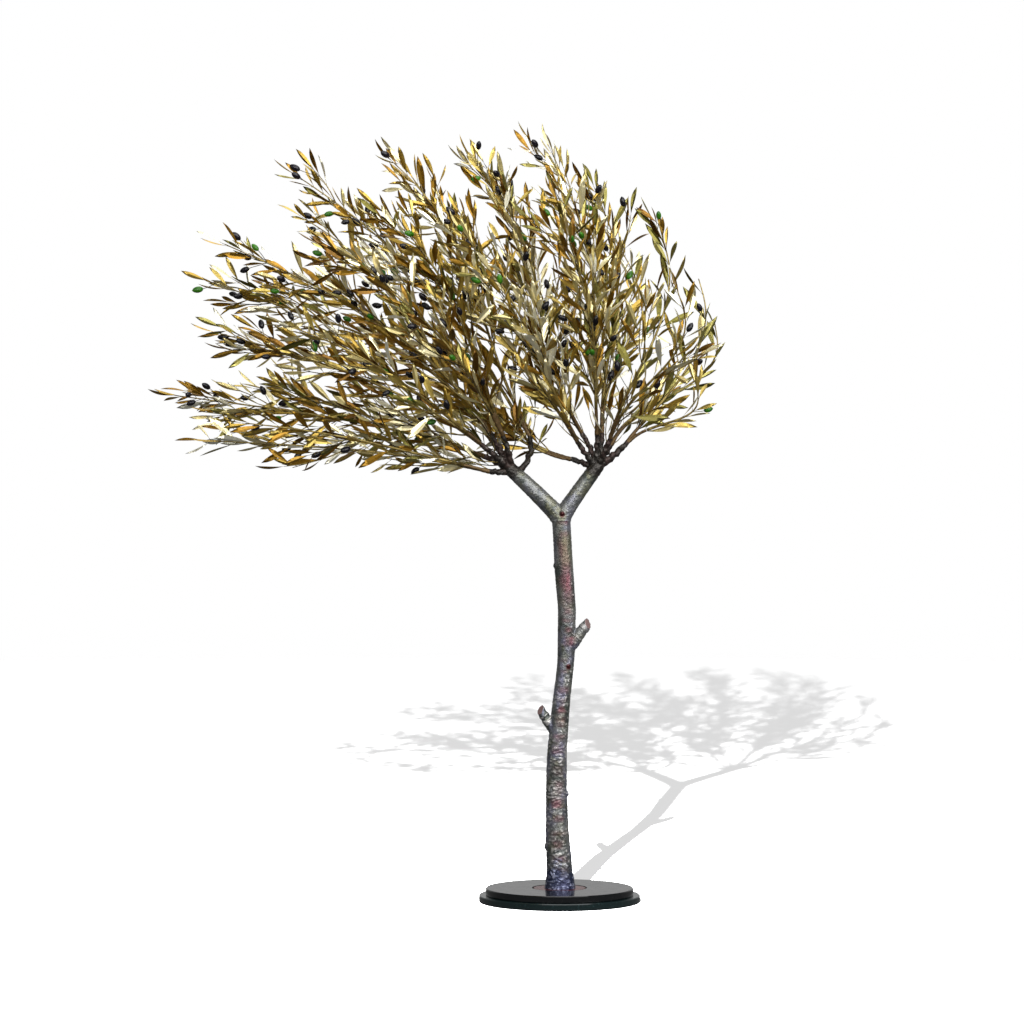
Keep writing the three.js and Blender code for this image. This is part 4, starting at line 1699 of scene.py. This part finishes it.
@dataclass
class Crown:
    """The foliage: stems with the source's side twigs, finer twigs, opposite leaves, and olives.

    The first order of twigs repeats the twigs of the solids with the same seeds, and the finer orders
    follow the same rule between them and on them.
    """

    plan: TreePlan
    leaf: LeafShape = field(default_factory=LeafShape)
    olive: OliveShape = field(default_factory=OliveShape)
    source_twigs: TwigRule = TwigRule(165, 80, 120, 32, 0.06, 0.84, (1.6, 0.9))
    finer_twigs: TwigRule = TwigRule(120, 62, 64, 32, 0.03, 0.93, (1.4, 0.8), 14, 0.4)
    second_twigs: TwigRule = TwigRule(62, 46, 50, 35, 0.3, 0.7, (1.1, 0.7), 14, 0.3)
    bough_twigs: TwigRule = TwigRule(66, 52, 22, 44, 0.25, 1.0, (1.3, 0.8), 24, 0.5)
    leaf_length: tuple[float, float] = (42.0, 71.0)
    leaf_angle: float = 31.0
    leaf_angle_range: float = 36.0
    pair_every: float = 26.0
    petiole: float = 4.0
    tip_leaf: float = 60.0
    black_share: float = 0.135
    green_share: float = 0.052
    stem_start: float = STEM_START
    probe: float = 55.0
    bare_of_olives: float = 150.0
    crowding: tuple[float, float] = (1.35, 0.8)
    bare_knuckle: tuple[float, float] = (16.0, 52.0)
    full_knuckle: tuple[float, float] = (55.0, 130.0)
    leafy_enough: float = 0.6
    leaf_chance: float = 0.94
    stray_share: float = 0.4
    dark_share: float = 0.35
    source_bare: float = 26.0
    finer_bare: float = 14.0

    def __post_init__(self) -> None:
        """Makes room for what the crown will hold."""
        self.space = CrownSpace(self.plan)
        self.leaves = {finish.name: MeshBuilder() for finish in LEAF_FINISHES}
        self.twigs = {"gold": MeshBuilder(), "dark": MeshBuilder()}
        self.olives = {"black": MeshBuilder(), "green": MeshBuilder()}

    def build(self, effects: Effects) -> None:
        """Grows every spray and makes the pieces of the crown, each kind apart.

        Args:
            effects: the shared node groups.
        """
        for i, stem in enumerate(self.plan.stems):
            self._grow_mass(i, stem)
        random = SeededRandom(BOUGH_SEED)
        for side in Side:
            for bough in self.plan.boughs[side]:
                self._sprout(bough, self.bough_twigs, Mass(None, side, random))
        nodes = [stem.node for stem in self.plan.stems]
        for finish in LEAF_FINISHES:
            piece = self._piece(self.leaves, "leaves", finish.name, finish.build(effects))
            if finish is LEAF_FINISHES[0]:
                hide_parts(*nodes)
        for finish in TWIG_FINISHES:
            self._piece(self.twigs, "twigs", finish.name, [finish.build(effects)])
        for finish in OLIVE_FINISHES:
            self._piece(self.olives, "olives", finish.name, [finish.build(effects)])

    @staticmethod
    def _piece(shapes: dict[str, MeshBuilder], kind: str, name: str,
               materials: Sequence[bpy.types.Material]) -> bpy.types.Object:
        """Makes one piece of the crown.

        Args:
            shapes: what has grown of this kind, by the name of its finish.
            kind: the kind's name.
            name: the finish's name.
            materials: its material slots.

        Returns:
            The new piece.
        """
        piece = shapes[name].build(f"{kind}_{name}", materials)
        return piece

    def _grow_mass(self, owner: int, stem: Stem) -> None:
        """Grows one mass: its stem, the source's side twigs, and finer ones.

        Args:
            owner: the mass's place in the plan.
            stem: its stem.
        """
        growth = SeededRandom(GROWTH_SEED + owner)
        random = SeededRandom(GROWTH_SEED + FINER_SEED + owner)
        mass = Mass(owner, stem.side, random, SPACING.get(stem.node, 1.0))
        route, rule = stem.route, self.source_twigs
        turn = growth() * 2 * math.pi
        along = route.length * rule.first
        while along < route.length * rule.last:
            share = along / route.length
            length = lerp(rule.longest, rule.shortest, share)
            side = twig_route(route.at(share), turn, length, rule.spread, rule.radii)
            if self._fits(side, owner, SOLID_LEAF):
                self._draw_twig(side, random)
                self._sprout(side, self.second_twigs, mass)
                self._dress(side, self.source_bare, mass)
            turn += math.radians(GOLDEN_TURN)
            along += rule.every * growth.jitter(1, 0.3)
        self._sprout(route, self.finer_twigs, mass)
        tip = route.at(1)
        reach = tip.point + tip.direction * (SOLID_LEAF - self.tip_leaf)
        whole = Route(np.concatenate([route.points, reach[None]]), route.radii)
        self.twigs["gold"].tube(whole.stations(self.stem_start / route.length * 0.9, 1, 20), 6)
        self._dress(whole, whole.length * 0.05, Mass(owner, stem.side, random))

    def _sprout(self, carrier: Route, rule: TwigRule, mass: Mass) -> None:
        """Grows twigs of one order on a carrier, a golden turn apart and closer together towards its tip.

        Args:
            carrier: the route that they leave.
            rule: how they leave it.
            mass: the mass that they belong to.
        """
        random = mass.random
        turn = random() * 2 * math.pi
        along = carrier.length * rule.first + rule.every * random() * 0.5
        while along < carrier.length * rule.last:
            share = along / carrier.length
            length = lerp(rule.longest, rule.shortest, share) * random.jitter(1, rule.length_range)
            spread = random.jitter(rule.spread, rule.spread_range)
            side = twig_route(carrier.at(share), turn, length, spread, rule.radii)
            leafy = self._leafy(side.point_at(1), mass.side)
            if leafy > self.leafy_enough and self._fits(side, mass.owner, self.probe):
                self._draw_twig(side, random)
                self._dress(side, self.finer_bare, mass)
            turn += math.radians(GOLDEN_TURN) + random.jitter(0, 0.5)
            along += rule.every * mass.spacing * lerp(*self.crowding, share) * random.jitter(1, 0.4)

    def _fits(self, side: Route, owner: int | None, reach: float) -> bool:
        """Tells whether a twig stays in its mass's space, with a leaf at its tip.

        Args:
            side: the twig's route.
            owner: its own stem's number, or None where only the crown and the limbs count.
            reach: the length of the leaf at its tip.

        Returns:
            True when it does.
        """
        tip = side.at(1)
        inner = (side.point_at(share) for share in (1 / 3, 2 / 3))
        probes = np.array([*inner, tip.point, tip.point + tip.direction * reach])
        return self.space.clear(probes) if owner is None else self.space.own(probes, owner)

    def _draw_twig(self, side: Route, random: SeededRandom) -> None:
        """Draws one side twig in the metal that chance deals."""
        self.twigs["dark" if random() < self.dark_share else "gold"].tube(side.stations(0, 1, 6), 5)

    def _dress(self, route: Route, bare: float, mass: Mass) -> None:
        """Sets leaves in opposite pairs along a twig, one at its tip, and olives here and there.

        Args:
            route: the twig's route.
            bare: the length at its root that has no leaves.
            mass: the mass that it belongs to; where its spacing is above 1 the leaves thin out too.
        """
        random = mass.random
        pair_every = self.pair_every * max(1.0, mass.spacing) ** 0.7
        finish = self._deal(random)
        turn = random() * math.pi
        along = route.length - self.pair_every * 0.4
        while along > bare:
            station = route.at(along / route.length)
            turn += random.jitter(math.pi / 2, 0.8)
            size = min(1.15, 0.8 + (route.length - along) / 220)
            leafy = self._leafy(station.point, mass.side)
            for side in (turn, turn + math.pi):
                if random() < self.leaf_chance * leafy:
                    out = leaving(station, random.jitter(self.leaf_angle, self.leaf_angle_range), side)
                    self._place_leaf(station, out, lerp(*self.leaf_length, random()) * size, finish, random)
            kind = self._fruit(random)
            if kind is not None:
                self._place_olive(station, turn + math.pi / 2 + random.jitter(0, 1.2), kind, random)
            along -= pair_every * random.jitter(1, 0.3)
        tip = route.at(1)
        self._place_leaf(tip, tip.direction, self.tip_leaf - self.petiole, finish, random)

    @staticmethod
    def _deal(random: SeededRandom) -> str:
        """Deals a finish to a spray or to a stray leaf.

        Args:
            random: the mass's chance.

        Returns:
            The finish's name.
        """
        drawn = random()
        for finish in LEAF_FINISHES:
            drawn -= finish.share
            if drawn <= 0:
                return finish.name
        return LEAF_FINISHES[0].name

    def _fruit(self, random: SeededRandom) -> str | None:
        """Deals an olive to a pair of leaves.

        Args:
            random: the mass's chance.

        Returns:
            The kind of olive, or None where there is none.
        """
        drawn = random()
        if drawn < self.black_share:
            return "black"
        return "green" if drawn < self.black_share + self.green_share else None

    def _place_leaf(self, station: Station, out: Vec, length: float, finish: str,
                    random: SeededRandom) -> None:
        """Sets one leaf and its stalk, unless it would leave the crown or touch a limb.

        Args:
            station: where it grows.
            out: its direction.
            length: its blade's length.
            finish: its spray's finish, from which chance may stray.
            random: the mass's chance.
        """
        roll, bends = random() * 2 * math.pi, (random.jitter(0.06, 0.2), random.jitter(0, 0.12))
        name = self._deal(random) if random() < self.stray_share else finish
        root = station.point + out * (station.radius + self.petiole)
        corners = self.leaf.corners(root, out, roll, length, bends)
        if not self.space.clear(corners[[0, len(corners) // 2, -1]]):
            return
        self.twigs["dark"].tube([Station(station.point, out, 0.7), Station(root + out * 1.5, out, 0.5)], 3)
        self.leaves[name].add(corners, self.leaf.faces, self.leaf.slots, self.leaf.kinds)

    def _leafy(self, point: Vec, side: Side) -> float:
        """Finds how likely a leaf is: not at all at its side's knuckle, and fully further out.

        Args:
            point: where it would grow.
            side: the side of its bough.

        Returns:
            The likelihood, from 0 to 1.
        """
        bare, full = (reach[side is Side.RIGHT] for reach in (self.bare_knuckle, self.full_knuckle))
        away = np.linalg.norm(point - self.plan.arms[side].point_at(1))
        return float(np.clip((away - bare) / (full - bare), 0, 1))

    def _near_knuckle(self, point: Vec) -> bool:
        """Returns whether a point is so near an arm's end that no olives hang there."""
        ends = (arm.point_at(1) for arm in self.plan.arms.values())
        return any(np.linalg.norm(point - end) < self.bare_of_olives for end in ends)

    def _place_olive(self, station: Station, turn: float, kind: str, random: SeededRandom) -> None:
        """Sets one olive on its curved stalk, unless it would leave the crown or touch a limb.

        Args:
            station: where its stalk grows.
            turn: how far it is turned round its twig.
            kind: which of the olives it is.
            random: the mass's chance.
        """
        out = leaving(station, random.jitter(48, 30), turn)
        length = station.radius + 6 + 28 * random() ** 1.7
        end = station.point + out * length
        hang = unit(out + station.direction * random.jitter(0.3, 1.0))
        corners = self.olive.corners(end + hang * length * 0.3, hang, random.jitter(0.96, 0.2))
        if not self.space.clear(corners[[0, -1]]) or self._near_knuckle(end):
            return
        stalk = Route(bezier([station.point, end, end + hang * (length * 0.3 + 1)], 6), (0.65, 0.65))
        self.twigs["dark"].tube(stalk.stations(0, 1, 4), 4)
        self.olives[kind].add(corners, self.olive.faces)


# ---- studio ----

@dataclass
class Studio:
    """A plain pale floor, soft light and the camera. The lamp that lays the shadow lights the floor alone."""

    eye: Place = (-0.0917, -6.114, 0.7519)
    lens: float = 111.34
    sensor: float = 36.0
    floor_radius: float = 11.0
    floor_glow: float = 0.68
    floor_bounce: float = 0.13
    world_light: float = 0.07
    backdrop_light: float = 0.5
    lamp: Place = (-0.839, -5.992, 2.45)
    lamp_power: float = 79000.0

    def build(self) -> None:
        """Sets the whole studio up."""
        self._camera()
        self._world()
        floor = self._floor()
        others = bpy.data.collections.new("all_but_floor")
        others.objects.link(floor)
        others.collection_objects[0].light_linking.link_state = "EXCLUDE"
        self._area("softbox_right", (2.9, -3.4, 2.9), (4.6, 4.6), 370, others)
        self._area("softbox_top", (0.15, 0.1, 3.6), (4.0, 2.6), 82, others)
        self._area("softbox_front", (-0.9, -4.8, 2.5), (3.0, 3.0), 170, others)
        self._area("softbox_left", (-3.4, -2.4, 2.2), (3.0, 3.0), 30, others)
        self._shadow_lamp(floor)
        scene = bpy.context.scene
        scene.view_settings.view_transform = "Standard"
        scene.view_settings.look = "None"

    def _camera(self) -> None:
        """Sets the camera, level and square to the front."""
        data = bpy.data.cameras.new("camera")
        data.lens, data.sensor_width = self.lens, self.sensor
        data.clip_end = 100
        camera = bpy.data.objects.new("camera", data)
        camera.location = self.eye
        camera.rotation_euler = (math.pi / 2, 0, 0)
        bpy.context.scene.collection.objects.link(camera)
        bpy.context.scene.camera = camera

    def _world(self) -> None:
        """Sets a white backdrop that lights the tree dimly, and from behind a little more."""
        world = bpy.data.worlds.new("studio")
        bpy.context.scene.world = world
        world.use_nodes = True
        net = Net(world.node_tree)
        seen = net.add("LightPath").outputs["Is Camera Ray"]
        towards = net.add("SeparateXYZ", {0: net.add("TexCoord").outputs["Generated"]}).outputs["Y"]
        lit = net.band(towards, 0.4, 0.9, (self.world_light, self.backdrop_light))
        light = net.add("Background", {"Color": (1, 1, 1, 1), "Strength": net.math("MAXIMUM", seen, lit)})
        net.add("OutputWorld", {"Surface": light.outputs[0]})

    def _floor(self) -> bpy.types.Object:
        """Lays a pale round floor that fades out at its rim and takes a faint shadow.

        Returns:
            The floor.
        """
        material, net = new_material("pale_floor")
        where = net.add("TexCoord").outputs["Object"]
        far = net.add("VectorMath", {0: where}, operation="LENGTH").outputs["Value"]
        fade = net.band(far, self.floor_radius * 0.8, self.floor_radius * 0.98)
        seen = net.add("LightPath").outputs["Is Camera Ray"]
        matt = net.add("BsdfDiffuse", {"Color": (0.9, 0.9, 0.9, 1)}).outputs[0]
        white = (1.0, 1.0, 1.0, 1.0)
        glow = net.add("Emission", {"Color": white, "Strength": self.floor_glow}).outputs[0]
        bounce = net.add("Emission", {"Color": white, "Strength": self.floor_bounce}).outputs[0]
        faint = net.add("MixShader", {0: 0.7, 1: matt}).outputs[0]
        pale = net.add("AddShader", {0: glow, 1: faint}).outputs[0]
        floor = net.add("MixShader", {0: seen, 1: bounce, 2: pale}).outputs[0]
        clear = net.add("BsdfTransparent").outputs[0]
        net.add("OutputMaterial", {"Surface": net.add("MixShader", {0: fade, 1: floor, 2: clear}).outputs[0]})
        mesh = bpy.data.meshes.new("floor")
        turns = [2 * math.pi * k / 96 for k in range(96)]
        rim = [(self.floor_radius * math.cos(t), self.floor_radius * math.sin(t), 0.0) for t in turns]
        mesh.from_pydata(rim, [], [list(range(96))])
        mesh.materials.append(material)
        piece = bpy.data.objects.new("floor", mesh)
        bpy.context.scene.collection.objects.link(piece)
        return piece

    @staticmethod
    def _area(name: str, stand: Place, size: tuple[float, float], power: float,
              receivers: bpy.types.Collection) -> None:
        """Sets a soft light that faces the middle of the crown.

        Args:
            name: the lamp's name.
            stand: where it stands.
            size: its width and depth.
            power: its power.
            receivers: what it lights.
        """
        data = bpy.data.lights.new(name, "AREA")
        data.shape, data.energy = "RECTANGLE", power
        data.size, data.size_y = size
        lamp = bpy.data.objects.new(name, data)
        lamp.location = stand
        aim = np.array([-0.15, 0.0, 0.9]) - np.array(stand)
        lamp.rotation_euler = Vector(aim).to_track_quat("-Z", "Y").to_euler()
        lamp.light_linking.receiver_collection = receivers
        bpy.context.scene.collection.objects.link(lamp)

    def _shadow_lamp(self, floor: bpy.types.Object) -> None:
        """Sets the far lamp that lays the tree's shadow on the floor, back and to the right.

        Args:
            floor: the floor, which alone it lights.
        """
        data = bpy.data.lights.new("shadow_lamp", "POINT")
        data.energy, data.shadow_soft_size = self.lamp_power, 0.02
        lamp = bpy.data.objects.new("shadow_lamp", data)
        lamp.location = self.lamp
        only = bpy.data.collections.new("floor_only")
        only.objects.link(floor)
        lamp.light_linking.receiver_collection = only
        bpy.context.scene.collection.objects.link(lamp)


def main() -> None:
    logging.basicConfig(level=logging.INFO, format="%(name)s %(message)s")
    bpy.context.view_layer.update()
    effects = Effects()
    plan = TreePlan()
    Studio().build()
    LOG.info("studio: set up")
    for part in (Stand(), Limbs(plan), Crown(plan)):
        LOG.info("%s: building", type(part).__name__.lower())
        part.build(effects)


if __name__ == "__main__":
    main()
